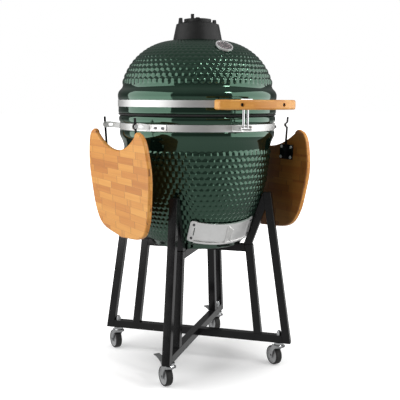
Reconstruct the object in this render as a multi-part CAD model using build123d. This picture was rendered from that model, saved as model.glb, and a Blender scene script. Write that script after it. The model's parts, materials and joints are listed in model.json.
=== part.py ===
"""A kamado charcoal grill: an egg-shaped ceramic body on a crossed tube stand with four casters.

Millimetres. +Z is up, the origin is on the floor under the axis of the body. The front, with the
handle, the latch and the draft vent, faces -Y. The shelves hang at -X and +X, the lid hinges at +Y.
"""
import os
from math import asin, atan2, cos, degrees, radians, sin, sqrt

from build123d import *

os.makedirs("parts", exist_ok=True)

# ---------------------------------------------------------------- driving dimensions
FIT = 0.1            # radial running clearance of a pin in its hole
GAP = 0.4            # clearance between pieces that move past each other

# stand: two crossed frames of square tube
TUBE = 25.0
TUBE_WALL = 1.5
BAR_BOTTOM_Z = 83.0
BODY_Z = 408.0       # underside of the ceramic base and top of the top bars
OUTER_FOOT_R = 311.0  # centre line of an outer upright, measured OUTER_FOOT_UP above the bar's underside
OUTER_FOOT_UP = 15.0
OUTER_LEAN = 0.15    # inward run per unit of height
APEX_Z = 583.0
SUPPORT_LEAN = 0.36
SUPPORT_TOP_R = 226.0  # inner face of a body support at SUPPORT_TOP_Z
SUPPORT_TOP_Z = 581.0
INNER_FOOT_R = 216.5  # centre line of an inner upright at INNER_FOOT_Z
INNER_FOOT_Z = 95.0
INNER_LEAN = 0.115
STEM_R = 286.0       # distance of a caster stem from the body axis

# casters
WHEEL_R = 31.75
WHEEL_W = 22.0
HUB_R = 27.0
TYRE_SHOULDER = 7.0  # how far the rounded edge of the tread comes in from each side
TRAIL = 26.0         # wheel axle behind the swivel axis
FORK_GAP = 26.0
FORK_T = 2.5
CROWN_TOP_Z = 77.6
CROWN_LOW_Z = 66.0
CROWN_R = 17.0
EYE_R = 9.0
AXLE_R = 4.0
STEM_D = 10.0
COLLAR_R = 16.0
PEDAL_PIVOT = (22.5, 71.2)  # along the trail and height
PEDAL_PIN_R = 2.0

# ceramic base
WALL = 24.0
BASE_R = 253.0       # flange below the band
BAND_SEAT_R = 251.0
RIM_R = 256.0
BASE_TOP_Z = 828.0
BELLY_Z = 722.0
BELLY_R = 239.5
BASE_BAND_Z = (782.0, 803.0)
BAND_T = 1.8

# ceramic lid
LID_BOTTOM_Z = 833.3
LID_R = 257.0
LID_WALL = 22.0
LID_FLANGE_TOP_Z = 893.0
LID_BAND_Z = (855.0, 876.0)
DOME_CENTRE_R = 67.5   # the dome's outline is an arc about this circle
DOME_CENTRE_Z = 886.5
DOME_ARC_R = 178.9
DOME_FOOT_Z = 916.0
NECK_R = 66.0
NECK_BORE_R = 50.0
NECK_TOP_Z = 1088.0
SEAL_T = 2.5

# chimney cap and damper
CAP_BOTTOM_R = 80.0
CAP_TOP_R = 69.0
CAP_BOTTOM_Z = 1066.0
CAP_TOP_Z = 1118.0
CAP_WALL = 5.0
STEP_R = 49.5
STEP_H = 6.0
DISC_R = 44.0
DISC_WALL = 4.0
DISC_RIM_Z = 1134.5
DISC_CENTRE_Z = 1137.5
WINDOWS = 4
WINDOW_R = (15.0, 38.0)
WINDOW_SPAN = 42.0   # degrees
DAMPER_BOLT_R = 4.0
KNOB_XY = (-26.0, -13.0)
KNOB_TOP_Z = 1149.0

# draft vent at the foot of the base
VENT_MID_Y = -186.5  # back face of the plate in the middle
VENT_MID_Z = 463.0
VENT_LEAN = 23.5     # degrees that the axis of the plate's bend leans with the wall
VENT_BEND_R = 201.0
VENT_TALL = 74.0
VENT_HALF = 34.0     # degrees of the bend each side of the front
VENT_CORNER_R = 9.0
VENT_SCREW_ANGLE = 30.5
VENT_SCREW_UP = 24.0
PLATE_T = 1.5
RAIL_H = 6.0
RAIL_HALF = 28.0
PORT_TALL = 38.0
PORT_SPAN = (4.0, 24.0)   # degrees of the bend, in the steel plate
DOOR_SPAN = (1.0, 27.0)
DOOR_TAB = (3.6, 4.4)
DOOR_TAB_RISE = 15.0
SHELL_PORT_Z = (446.0, 491.0)
SHELL_PORT_SPAN = (1.0, 30.0)   # degrees round the body

# hinge at the back
HINGE_Y = 300.0
HINGE_Z = 830.0
HINGE_PIN_R = 5.0
BASE_CHEEK_X = 62.0
LID_CHEEK_X = 52.0
STRAP_T = 3.0

# handle, catch and latch at the front
HANDLE_HALF = 130.0
HANDLE_Z = (850.0, 878.0)
HANDLE_END_Y = -366.0
HANDLE_BOW = 36.0
HANDLE_DEPTH = 40.0
HANDLE_WEB_X = 63.0
HANDLE_PAD = 14.0    # width of a strap's pad against the grip
LATCH_Y = -297.0
LATCH_Z = 795.0
BAIL_TOP_Z = 857.0
BAIL_HALF = 7.0
BAIL_ROD_R = 3.5
LATCH_EAR_X = 16.0
CATCH_HALF = 20.0
CATCH_TOP_Z = 880.5
CATCH_FRONT_Y = -303.0

# side shelves, given on the right-hand side and mirrored
PIVOT_X = 275.0
PIVOT_Z = 797.0
ARM_Y = 118.0
ARM_T = 3.5
ARM_H = 19.0
SHELF_T = 16.0
SHELF_TILT = 3.7     # degrees that the hanging board leans in at the bottom
BAR_W = 7.0
BAR_T = 3.0
BAR_RISE = 26.0
BRACKET_PLATE = (72.0, 48.0, 3.0)
BRACKET_Y = 121.0
BRACKET_DROP = 90.0  # centre of the bracket plate below the pivot
BRACKET_SCREWS = (27.0, 17.0)  # each side of the plate's centre, across and up
SHELF_PIN_R = 4.0

# thermometer on the dome
THERMO_TILT = 34.0
THERMO_R = 167.0
THERMO_CASE_R = 27.5
DIAL_R = 23.0


def write(name, *solids):
    """Write one piece, or one group of identical pieces, as a node."""
    shapes = []
    for solid in solids:
        shapes.extend(solid.solids())
    export_step(shapes[0] if len(shapes) == 1 else Compound(children=shapes), f"parts/{name}.step")


def wire_face(*edges):
    """A face from edges that close in order."""
    return make_face(Curve() + list(edges))


def turned(face):
    """A solid of revolution about +Z from a face drawn in the XZ plane."""
    return revolve(Plane.XZ * face, Axis.Z, 360)


def turned_polygon(*points):
    """A solid of revolution from straight-sided (radius, height) points."""
    return turned(make_face(Polyline(*points, close=True)))


def ring(r_in, r_out, z_low, z_high):
    """An upright tube about the axis, or a disc where the inner radius is 0."""
    face = Circle(r_out) - Circle(r_in) if r_in else Circle(r_out)
    return Pos(0, 0, z_low) * extrude(face, z_high - z_low)


def block(x0, x1, y0, y1, z0, z1):
    return Pos((x0 + x1) / 2, (y0 + y1) / 2, (z0 + z1) / 2) * Box(x1 - x0, y1 - y0, z1 - z0)


def rod(start, end, radius):
    """A round rod between two points."""
    a, b = Vector(*start), Vector(*end)
    return Solid.make_cylinder(radius, (b - a).length, Plane(origin=a, z_dir=b - a))


def wedge(angle_low, angle_high, r, z0, z1):
    """A sector, with angles in degrees from the front (-Y), positive towards +X."""
    steps = [angle_low, (angle_low + angle_high) / 2, angle_high]
    rim = [(r * sin(radians(a)), -r * cos(radians(a))) for a in steps]
    face = wire_face(Line((0, 0), rim[0]), ThreePointArc(*rim), Line(rim[2], (0, 0)))
    return Pos(0, 0, z0) * extrude(face, z1 - z0)


def front_point(angle, r):
    return r * sin(radians(angle)), -r * cos(radians(angle))


# ---------------------------------------------------------------- stand
def frame_plane(azimuth):
    """The vertical plane of one stand frame: local x runs outward, local y runs up."""
    out = Vector(cos(radians(azimuth)), sin(radians(azimuth)), 0)
    return Plane(origin=(0, 0, 0), x_dir=out, z_dir=out.cross(Vector(0, 0, 1)))


def member(azimuth, outline, hollow):
    """A square tube lying in a frame: its outline, and the outline of its hollow, as (out, up) points."""
    plane = frame_plane(azimuth)
    body = extrude(plane * make_face(Polyline(*outline, close=True)), TUBE / 2, both=True)
    core = plane * make_face(Polyline(*hollow, close=True))
    return body - extrude(core, TUBE / 2 - TUBE_WALL, both=True)


def leaning(r_low, z_low, r_high, z_high, lean):
    """Outline and hollow of a leaning tube between its inner face line and two level cuts."""
    across = TUBE * sqrt(1 + lean * lean)
    wall = TUBE_WALL * sqrt(1 + lean * lean)
    outline = [(r_low, z_low), (r_low + across, z_low), (r_high + across, z_high), (r_high, z_high)]
    reach = 1.0
    step = (r_high - r_low) / (z_high - z_low) * reach
    hollow = [
        (r_low + wall - step, z_low - reach),
        (r_low + across - wall - step, z_low - reach),
        (r_high + across - wall + step, z_high + reach),
        (r_high + wall + step, z_high + reach),
    ]
    return outline, hollow


def outer_face_r(z):
    """Inner face line of an outer upright."""
    centre = OUTER_FOOT_R - OUTER_LEAN * (z - BAR_BOTTOM_Z - OUTER_FOOT_UP)
    return centre - TUBE / 2 * sqrt(1 + OUTER_LEAN**2)


def inner_face_r(z):
    """Inner face line of an inner upright."""
    return INNER_FOOT_R - INNER_LEAN * (z - INNER_FOOT_Z) - TUBE / 2 * sqrt(1 + INNER_LEAN**2)


def support_face_r(z):
    """Inner face line of a body support."""
    return SUPPORT_TOP_R - SUPPORT_LEAN * (SUPPORT_TOP_Z - z)


def outer_upright(azimuth):
    low, high = BAR_BOTTOM_Z, APEX_Z
    outline, hollow = leaning(outer_face_r(low), low, outer_face_r(high), high, OUTER_LEAN)
    hollow[2] = (hollow[2][0], APEX_Z - TUBE_WALL)
    hollow[3] = (hollow[3][0], APEX_Z - TUBE_WALL)
    return member(azimuth, outline, hollow)


def body_support(azimuth):
    """From the top of an inner upright up to the outer upright, following the body."""
    across = TUBE * sqrt(1 + SUPPORT_LEAN**2)
    run = SUPPORT_LEAN + OUTER_LEAN
    top = (outer_face_r(0) - support_face_r(0)) / run
    shoulder = (outer_face_r(0) - support_face_r(0) - across) / run
    low = support_face_r(BODY_Z)
    outline = [
        (low, BODY_Z),
        (low + across, BODY_Z),
        (outer_face_r(shoulder), shoulder),
        (outer_face_r(top), top),
    ]
    wall = TUBE_WALL * sqrt(1 + SUPPORT_LEAN**2)
    head = shoulder - TUBE
    hollow = [
        (support_face_r(BODY_Z - 1) + wall, BODY_Z - 1),
        (support_face_r(BODY_Z - 1) + across - wall, BODY_Z - 1),
        (support_face_r(head) + across - wall, head),
        (support_face_r(head) + wall, head),
    ]
    return member(azimuth, outline, hollow)


def inner_upright(azimuth):
    low = BAR_BOTTOM_Z + TUBE
    outline, hollow = leaning(inner_face_r(low), low, inner_face_r(BODY_Z), BODY_Z, INNER_LEAN)
    return member(azimuth, outline, hollow)


def level_bar(azimuth, r_from, face_r, z_low):
    """A level tube out to the inner face line of an upright."""
    z_high = z_low + TUBE
    outline = [(r_from, z_low), (face_r(z_low), z_low), (face_r(z_high), z_high), (r_from, z_high)]
    reach = face_r(z_low) + 2
    hollow = [
        (r_from - 1, z_low + TUBE_WALL),
        (reach, z_low + TUBE_WALL),
        (reach, z_high - TUBE_WALL),
        (r_from - 1, z_high - TUBE_WALL),
    ]
    return member(azimuth, outline, hollow)


def crossed_bars(face_r, z_low):
    """One bar right across, made as two halves that are fused, and two halves butted to its sides."""
    through = level_bar(-45, 0, face_r, z_low) + level_bar(135, 0, face_r, z_low)
    return [through, level_bar(-135, TUBE / 2, face_r, z_low), level_bar(45, TUBE / 2, face_r, z_low)]


CORNERS = {"fl": (-1, -1), "fr": (1, -1), "rl": (-1, 1), "rr": (1, 1)}
AZIMUTHS = (-135, -45, 135, 45)


def stem_xy(corner):
    sx, sy = CORNERS[corner]
    return sx * STEM_R / sqrt(2), sy * STEM_R / sqrt(2)


def make_stand():
    bars = crossed_bars(outer_face_r, BAR_BOTTOM_Z)
    for corner in CORNERS:
        x, y = stem_xy(corner)
        bore = Pos(x, y, BAR_BOTTOM_Z + TUBE / 2) * Cylinder(STEM_D / 2 + FIT, TUBE + 4)
        bars = [bar - bore for bar in bars]
    write("stand_bottom_bars", *bars)
    write("stand_top_bars", *crossed_bars(inner_face_r, BODY_Z - TUBE))
    write("stand_outer_uprights", *[outer_upright(a) for a in AZIMUTHS])
    write("stand_body_supports", *[body_support(a) for a in AZIMUTHS])
    write("stand_inner_uprights", *[inner_upright(a) for a in AZIMUTHS])


# ---------------------------------------------------------------- casters
def caster_stem(x, y):
    """A threaded stem with its collar under the bar and a ball at its lower end inside the crown."""
    shaft = Pos(x, y, 0) * ring(0, STEM_D / 2, CROWN_LOW_Z + 3, BAR_BOTTOM_Z + TUBE + 12)
    collar = Pos(x, y, 0) * ring(0, COLLAR_R, CROWN_TOP_Z + GAP, BAR_BOTTOM_Z)
    return shaft + collar


def caster_nut(x, y):
    """A hexagonal cap nut on top of the bar."""
    z = BAR_BOTTOM_Z + TUBE
    hexagon = Pos(x, y, z) * extrude(RegularPolygon(8.5, 6), 9)
    dome = Pos(x, y, z + 9) * Sphere(6.5) & block(x - 8, x + 8, y - 8, y + 8, z + 9, z + 16)
    return hexagon + dome - Pos(x, y, 0) * ring(0, STEM_D / 2, z - 1, z + 12)


def fork_cheek(x_low):
    """A side plate of the fork, drawn along the trail, with its eye around the axle."""
    outline = wire_face(
        Line((-CROWN_R + 4, CROWN_LOW_Z), (-CROWN_R + 3, CROWN_TOP_Z - 4)),
        Line((-CROWN_R + 3, CROWN_TOP_Z - 4), (CROWN_R - 1, CROWN_TOP_Z - 4)),
        Line((CROWN_R - 1, CROWN_TOP_Z - 4), (TRAIL + EYE_R, WHEEL_R)),
        ThreePointArc((TRAIL + EYE_R, WHEEL_R), (TRAIL, WHEEL_R - EYE_R), (TRAIL - EYE_R, WHEEL_R)),
        ThreePointArc((TRAIL - EYE_R, WHEEL_R), (TRAIL - 2 * EYE_R, 55), (-CROWN_R + 4, CROWN_LOW_Z)),
    )
    return extrude(Plane(origin=(x_low, 0, 0), x_dir=(0, 1, 0), z_dir=(1, 0, 0)) * outline, FORK_T)


def caster_fork(x, y, braked):
    """A pressed fork: a domed crown, two cheeks and the riveted axle."""
    crown = turned_polygon(
        (STEM_D / 2 + FIT, CROWN_LOW_Z),
        (CROWN_R, CROWN_LOW_Z),
        (CROWN_R, CROWN_TOP_Z - 5),
        (CROWN_R - 4, CROWN_TOP_Z),
        (STEM_D / 2 + FIT, CROWN_TOP_Z),
    )
    fork = crown + fork_cheek(FORK_GAP / 2) + fork_cheek(-FORK_GAP / 2 - FORK_T)
    reach = FORK_GAP / 2 + FORK_T + 2
    fork += rod((-reach, TRAIL, WHEEL_R), (reach, TRAIL, WHEEL_R), AXLE_R)
    if braked:
        along, height = PEDAL_PIVOT
        lug = FORK_GAP / 2
        for side in (-1, 1):
            ear = block(lug, lug + FORK_T, along - 6, along + 5, height - 12, height + 4)
            fork += ear if side > 0 else mirror(ear, Plane.YZ)
        fork += rod((-lug - FORK_T, along, height), (lug + FORK_T, along, height), PEDAL_PIN_R)
    return Pos(x, y, 0) * fork


def caster_hub(x, y):
    """A moulded wheel centre, dished on both faces around the axle boss."""
    half = WHEEL_W / 2
    profile = turned_polygon(
        (AXLE_R + FIT, -half + 0.5),
        (8, -half + 0.5),
        (9, -half + 3),
        (HUB_R - 4, -half + 4),
        (HUB_R - 2, -half + 1),
        (HUB_R, -half + 1),
        (HUB_R, half - 1),
        (HUB_R - 2, half - 1),
        (HUB_R - 4, half - 4),
        (9, half - 3),
        (8, half - 0.5),
        (AXLE_R + FIT, half - 0.5),
    )
    return Pos(x, y + TRAIL, WHEEL_R) * Rot(0, 90, 0) * profile


def caster_tyre(x, y):
    """A rubber tread with rounded shoulders, bonded round the hub."""
    half = WHEEL_W / 2
    side = (HUB_R + WHEEL_R) / 2
    tread = half - TYRE_SHOULDER
    bulge = half - TYRE_SHOULDER / 4
    face = wire_face(
        Line((HUB_R, -half), (side, -half)),
        ThreePointArc((side, -half), (WHEEL_R - 0.8, -bulge), (WHEEL_R, -tread)),
        Line((WHEEL_R, -tread), (WHEEL_R, tread)),
        ThreePointArc((WHEEL_R, tread), (WHEEL_R - 0.8, bulge), (side, half)),
        Line((side, half), (HUB_R, half)),
        Line((HUB_R, half), (HUB_R, -half)),
    )
    return Pos(x, y + TRAIL, WHEEL_R) * Rot(0, 90, 0) * turned(face)


def brake_pedal(x, y):
    """A steel pedal over the tyre: a sleeve around its pin, a brake shoe and a rising toe plate."""
    along, height = PEDAL_PIVOT
    sleeve = rod((-10, along, height), (10, along, height), PEDAL_PIN_R + 2.2)
    arm = make_face(
        Polyline(
            (along, height + 1.7),
            (along + 8, height + 1.2),
            (along + 9, height - 4.5),
            (along + 19, height - 5.5),
            (along + 22, height),
            (along + 46, height + 6.4),
            (along + 72, height + 8),
            (along + 71, height + 10.8),
            (along + 45, height + 9.2),
            (along + 23, height + 2.6),
            (along, height + 4.2),
            close=True,
        )
    )
    side = Plane(origin=(-10, 0, 0), x_dir=(0, 1, 0), z_dir=(1, 0, 0))
    pedal = sleeve + extrude(side * arm, 20)
    pedal -= rod((-11, along, height), (11, along, height), PEDAL_PIN_R + FIT)
    return Pos(x, y, 0) * pedal


def make_casters():
    places = {corner: stem_xy(corner) for corner in CORNERS}
    write("caster_stems", *[caster_stem(*place) for place in places.values()])
    write("caster_nuts", *[caster_nut(*place) for place in places.values()])
    for corner, (x, y) in places.items():
        braked = corner in ("fl", "rr")
        write(f"caster_fork_{corner}", caster_fork(x, y, braked))
        write(f"caster_wheel_{corner}", caster_hub(x, y))
        write(f"caster_tyre_{corner}", caster_tyre(x, y))
        if braked:
            write(f"brake_pedal_{corner}", brake_pedal(x, y))


# ---------------------------------------------------------------- ceramic base and its inside
BASE_CURVE = [(150.0, BODY_Z), (171.5, 440.0), (195.5, 505.0), (219.5, 583.0), (231.0, 648.0),
              (BELLY_R, BELLY_Z)]


def make_base_shell():
    """The lower half of the egg, with its draft port at the front."""
    inside = [(r - WALL, z) for r, z in BASE_CURVE[1:]]
    floor_z = BODY_Z + WALL
    face = wire_face(
        Line((0, BODY_Z), BASE_CURVE[0]),
        Spline(BASE_CURVE),
        Line(BASE_CURVE[-1], (BASE_R, 766)),
        Line((BASE_R, 766), (BASE_R, BASE_BAND_Z[0])),
        Line((BASE_R, BASE_BAND_Z[0]), (BAND_SEAT_R, BASE_BAND_Z[0])),
        Line((BAND_SEAT_R, BASE_BAND_Z[0]), (BAND_SEAT_R, BASE_BAND_Z[1])),
        Line((BAND_SEAT_R, BASE_BAND_Z[1]), (BASE_R, BASE_BAND_Z[1] + 1)),
        ThreePointArc((BASE_R, BASE_BAND_Z[1] + 1), (RIM_R, 815.5), (BASE_R, BASE_TOP_Z)),
        Line((BASE_R, BASE_TOP_Z), (BASE_R - WALL - 1, BASE_TOP_Z)),
        Line((BASE_R - WALL - 1, BASE_TOP_Z), (BASE_R - WALL - 1, 766)),
        Line((BASE_R - WALL - 1, 766), inside[-1]),
        Spline(list(reversed(inside))),
        Line(inside[0], (inside[0][0] - 12, floor_z)),
        Line((inside[0][0] - 12, floor_z), (0, floor_z)),
        Line((0, floor_z), (0, BODY_Z)),
    )
    write("base_shell", turned(face) - wedge(*SHELL_PORT_SPAN, RIM_R, *SHELL_PORT_Z))


FIRE_BOX_Z = (434.0, 640.0)
FIRE_BOX_R = (118.0, 185.0)
FIRE_BOX_WALL = 20.0
GRATE_Z = 505.0


def make_fire_box():
    """A tapered fireclay bowl with an ash mouth towards the draft port and a ledge for its grate."""
    taper = (FIRE_BOX_R[1] - FIRE_BOX_R[0]) / (FIRE_BOX_Z[1] - FIRE_BOX_Z[0])
    ledge_r = FIRE_BOX_R[0] + taper * (GRATE_Z - FIRE_BOX_Z[0]) - FIRE_BOX_WALL
    bowl = turned_polygon(
        (0, FIRE_BOX_Z[0]),
        (FIRE_BOX_R[0], FIRE_BOX_Z[0]),
        (FIRE_BOX_R[1], FIRE_BOX_Z[1]),
        (FIRE_BOX_R[1] - FIRE_BOX_WALL, FIRE_BOX_Z[1]),
        (ledge_r, GRATE_Z),
        (ledge_r - 12, GRATE_Z),
        (FIRE_BOX_R[0] - FIRE_BOX_WALL, FIRE_BOX_Z[0] + 14),
        (0, FIRE_BOX_Z[0] + 14),
    )
    first, last = SHELL_PORT_SPAN
    bowl -= wedge(first - 3, last + 3, RIM_R, SHELL_PORT_Z[0] + 4, SHELL_PORT_Z[1] - 3)
    for turn in range(30, 390, 60):
        bowl -= rod((0, 0, 570), (*front_point(turn, 230), 570), 8)
    write("fire_box", bowl)
    grate = ring(0, ledge_r - 1, GRATE_Z + 0.2, GRATE_Z + 7)
    for row, count in ((28, 6), (58, 12), (86, 18)):
        for step in range(count):
            x, y = front_point(360 / count * step, row)
            grate -= Pos(x, y, GRATE_Z + 4) * Cylinder(7, 12)
    write("charcoal_grate", grate)


FIRE_RING_R = (172.0, 192.0)
FIRE_RING_TOP = 772.0


def make_fire_ring():
    write("fire_ring", ring(*FIRE_RING_R, FIRE_BOX_Z[1] + 0.2, FIRE_RING_TOP))


COOKING_R = 217.0
COOKING_WIRES = 21
WIRE_R = 2.5
WIRE_LET_IN = 2.0
CROSS_R = 3.5
CROSS_Y = 95.0


def make_cooking_grate():
    """A round grid: a flat rim and two cross bars on the fire ring, with parallel wires let in."""
    cross_z = FIRE_RING_TOP + 0.2 + CROSS_R
    wire_z = cross_z + CROSS_R + WIRE_R - WIRE_LET_IN
    rim = ring(COOKING_R - CROSS_R, COOKING_R + CROSS_R, wire_z - CROSS_R, wire_z + CROSS_R)
    half = sqrt(COOKING_R**2 - CROSS_Y**2)
    cross_bars = [rod((-half, y, cross_z), (half, y, cross_z), CROSS_R) for y in (-CROSS_Y, CROSS_Y)]
    wires = []
    pitch = 2 * COOKING_R / (COOKING_WIRES + 1)
    for index in range(COOKING_WIRES):
        x = (index + 1) * pitch - COOKING_R
        half = sqrt(COOKING_R**2 - x * x)
        wires.append(rod((x, -half, wire_z), (x, half, wire_z), WIRE_R))
    write("cooking_grate", rim + cross_bars - wires, *wires)


def make_gaskets():
    seam = BASE_TOP_Z + SEAL_T
    write("base_gasket", ring(BASE_R - WALL + 2, RIM_R - 0.5, BASE_TOP_Z, seam))
    write("lid_gasket", ring(BASE_R - WALL + 2, LID_R + 0.5, seam + 0.3, LID_BOTTOM_Z))


# ---------------------------------------------------------------- ceramic lid
def dome_z(r, arc_r=DOME_ARC_R):
    return DOME_CENTRE_Z + sqrt(arc_r**2 - (r - DOME_CENTRE_R) ** 2)


def dome_r(z, arc_r=DOME_ARC_R):
    return DOME_CENTRE_R + sqrt(arc_r**2 - (z - DOME_CENTRE_Z) ** 2)


def dome_arc(r_from, r_to, arc_r):
    """The dome's outline between two radii."""
    a = atan2(dome_z(r_from, arc_r) - DOME_CENTRE_Z, r_from - DOME_CENTRE_R)
    b = atan2(dome_z(r_to, arc_r) - DOME_CENTRE_Z, r_to - DOME_CENTRE_R)
    points = []
    for angle in (a, (a + b) / 2, b):
        points.append((DOME_CENTRE_R + arc_r * cos(angle), DOME_CENTRE_Z + arc_r * sin(angle)))
    return ThreePointArc(*points)


def thermo_plane():
    """On the dome at the front: local z points out of the dome."""
    tilt = radians(THERMO_TILT)
    return Plane(origin=(0, -THERMO_R, dome_z(THERMO_R)), x_dir=(1, 0, 0), z_dir=(0, -sin(tilt), cos(tilt)))


def thermo_disc(r_in, r_out, low, high):
    face = Circle(r_out) - Circle(r_in) if r_in else Circle(r_out)
    return extrude(thermo_plane() * Pos(0, 0, low) * face, high - low)


def make_lid_shell():
    """The upper half of the egg: a straight flange, a cove, the dome and the chimney neck."""
    inner_arc = DOME_ARC_R - LID_WALL
    foot_r = dome_r(DOME_FOOT_Z)
    inner_r = LID_R - WALL - 1
    inner_foot = dome_r(905, inner_arc)
    face = wire_face(
        Line((LID_R, LID_BOTTOM_Z), (LID_R, LID_FLANGE_TOP_Z)),
        ThreePointArc((LID_R, LID_FLANGE_TOP_Z), (foot_r + 4.5, DOME_FOOT_Z - 9), (foot_r, DOME_FOOT_Z)),
        dome_arc(foot_r, NECK_R, DOME_ARC_R),
        Line((NECK_R, dome_z(NECK_R)), (NECK_R, NECK_TOP_Z)),
        Line((NECK_R, NECK_TOP_Z), (NECK_BORE_R, NECK_TOP_Z)),
        Line((NECK_BORE_R, NECK_TOP_Z), (NECK_BORE_R, dome_z(NECK_BORE_R, inner_arc))),
        dome_arc(NECK_BORE_R, inner_foot, inner_arc),
        Line((inner_foot, 905), (inner_r, 890)),
        Line((inner_r, 890), (inner_r, LID_BOTTOM_Z)),
        Line((inner_r, LID_BOTTOM_Z), (LID_R, LID_BOTTOM_Z)),
    )
    write("lid_shell", turned(face) - thermo_disc(0, 6, -60, 20))


# ---------------------------------------------------------------- bands and their bolts
def split_band(r_in, z_low, z_high):
    """A steel hoop with its clamping gap at the back."""
    hoop = ring(r_in, r_in + BAND_T, z_low, z_high)
    return hoop - block(-8, 8, r_in - 20, r_in + 20, z_low - 1, z_high + 1)


BASE_BAND_R = BAND_SEAT_R + BAND_T
LID_BAND_R = LID_R + BAND_T
TAB_T = 3.0
TAB_Z = (784.0, 802.0)
ARM_ROOT = degrees(asin(ARM_Y / (BASE_BAND_R + 1)))  # from +X towards the front
TAB_LEFT = 90 - ARM_ROOT - 12.5                      # end of an arm's tab, from the front


def radial_bolt(angle, r, z):
    """A hexagon-headed bolt through a band, pointing at the axis, its head seated at radius r."""
    x, y = front_point(angle, r)
    outward = Vector(x, y, 0).normalized()
    seat = Plane(origin=(x, y, z), z_dir=outward)
    head = extrude(seat * RegularPolygon(4.5, 6), 4)
    return head + Solid.make_cylinder(2.5, 4.5, Plane(origin=(x, y, z), z_dir=-outward))


BASE_BOLT_Z = sum(BASE_BAND_Z) / 2
LID_BOLT_Z = sum(HANDLE_Z) / 2
HANDLE_FOOT = degrees(asin(HANDLE_WEB_X / LID_BAND_R))  # a strap's web meets the band here


def base_bolts():
    """Two bolts in each shelf arm, two in the hinge and one in the latch bracket."""
    bolts = [radial_bolt(0, BASE_BAND_R + TAB_T, BASE_BOLT_Z)]
    for step in (2.5, 8.0):
        bolts.extend(four_ways(radial_bolt(TAB_LEFT + step, BASE_BAND_R + TAB_T, BASE_BOLT_Z)))
    for turn in (-11, 11):
        bolts.append(radial_bolt(180 + turn, BASE_BAND_R + TAB_T, BASE_BOLT_Z))
    return bolts


def lid_bolts():
    """One bolt in each handle strap, two in the catch and two in the hinge."""
    bolts = []
    for side in (-1, 1):
        bolts.append(radial_bolt(side * (HANDLE_FOOT - 4), LID_BAND_R + TAB_T, LID_BOLT_Z))
        bolts.append(radial_bolt(side * 3, LID_BAND_R + TAB_T, LID_BOLT_Z))
        bolts.append(radial_bolt(180 + side * 8, LID_BAND_R + TAB_T, LID_BOLT_Z))
    return bolts


def curved_tab(angle_low, angle_high, r_in, z_low, z_high):
    """A strap bent round the body, with angles from the front."""
    tab = ring(r_in, r_in + TAB_T, z_low, z_high)
    return tab & wedge(angle_low, angle_high, 2 * r_in, z_low - 1, z_high + 1)


# ---------------------------------------------------------------- shelves
def shelf_arm():
    """The right-hand front arm: a tab along the band and a slotted plate out to the pivot."""
    tab = curved_tab(TAB_LEFT, 90 - ARM_ROOT + 1, BASE_BAND_R, *TAB_Z)
    root_x = sqrt(BASE_BAND_R**2 - ARM_Y**2)
    low, high = PIVOT_Z - ARM_H / 2, PIVOT_Z + ARM_H / 2
    outline = wire_face(
        Line((root_x, TAB_Z[0]), (PIVOT_X - 18, low)),
        Line((PIVOT_X - 18, low), (PIVOT_X, low)),
        ThreePointArc((PIVOT_X, low), (PIVOT_X + ARM_H / 2, PIVOT_Z), (PIVOT_X, high)),
        Line((PIVOT_X, high), (PIVOT_X - 18, high)),
        Line((PIVOT_X - 18, high), (root_x, TAB_Z[1])),
        Line((root_x, TAB_Z[1]), (root_x, TAB_Z[0])),
    )
    front = Plane(origin=(0, -ARM_Y - ARM_T / 2, 0), x_dir=(1, 0, 0), z_dir=(0, -1, 0))
    plate = extrude(front * outline, -ARM_T)
    slot = extrude(front * Pos(PIVOT_X - 18, PIVOT_Z) * SlotOverall(16, 8), -ARM_T)
    bore = rod((PIVOT_X, 0, PIVOT_Z), (PIVOT_X, -2 * ARM_Y, PIVOT_Z), SHELF_PIN_R)
    return tab + plate - slot - bore - ring(0, BASE_BAND_R, 770, 820)


def four_ways(solid):
    """The piece and its mirror images at the other three corners."""
    pair = [solid, mirror(solid, Plane.XZ)]
    return pair + [mirror(each, Plane.YZ) for each in pair]


def shelf_pin():
    """A pivot pin through an arm and a shelf bracket, headed at both ends."""
    low = -ARM_Y - ARM_T / 2 - GAP - BAR_T - 1
    high = -ARM_Y + ARM_T / 2
    pin = rod((PIVOT_X, low - 2.5, PIVOT_Z), (PIVOT_X, high, PIVOT_Z), SHELF_PIN_R)
    pin += rod((PIVOT_X, low - 2.5, PIVOT_Z), (PIVOT_X, low, PIVOT_Z), SHELF_PIN_R + 2.5)
    return pin + rod((PIVOT_X, high, PIVOT_Z), (PIVOT_X, high + 2.5, PIVOT_Z), SHELF_PIN_R + 2.5)


# half outline of a board, as (across, below the pivot), from the horn to the middle of the outer edge
HORN = (176.0, -14.0)
HORN_INNER = (156.0, -26.0)
CUT_DEPTH = -75.0
SHELF_EDGE = [HORN, (203.0, -26.0), (223.0, -57.0), (238.0, -130.0), (229.0, -202.0), (203.0, -287.0),
              (146.0, -336.0), (0.0, -354.0)]


def board_face():
    """The board's outline: a round cut-out towards the body, two horns and a bowed outer edge."""
    def mirrored(points):
        return [(-y, z) for y, z in reversed(points)]

    tip = [HORN_INNER, (163.5, -17.0), HORN]
    edge = SHELF_EDGE
    return wire_face(
        ThreePointArc((-HORN_INNER[0], HORN_INNER[1]), (0, CUT_DEPTH), HORN_INNER),
        ThreePointArc(*tip),
        Spline(edge + mirrored(edge)[1:]),
        ThreePointArc(*mirrored(tip)),
    )


def hung(shape):
    """Place something drawn about the pivot, with local x outward, in the right-hand shelf's rest pose."""
    return Pos(PIVOT_X, 0, PIVOT_Z) * Rot(0, SHELF_TILT, 0) * shape


def shelf_board():
    inner = Plane(origin=(BAR_W / 2 + BRACKET_PLATE[2], 0, 0), x_dir=(0, 1, 0), z_dir=(1, 0, 0))
    return hung(extrude(inner * board_face(), SHELF_T))


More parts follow.
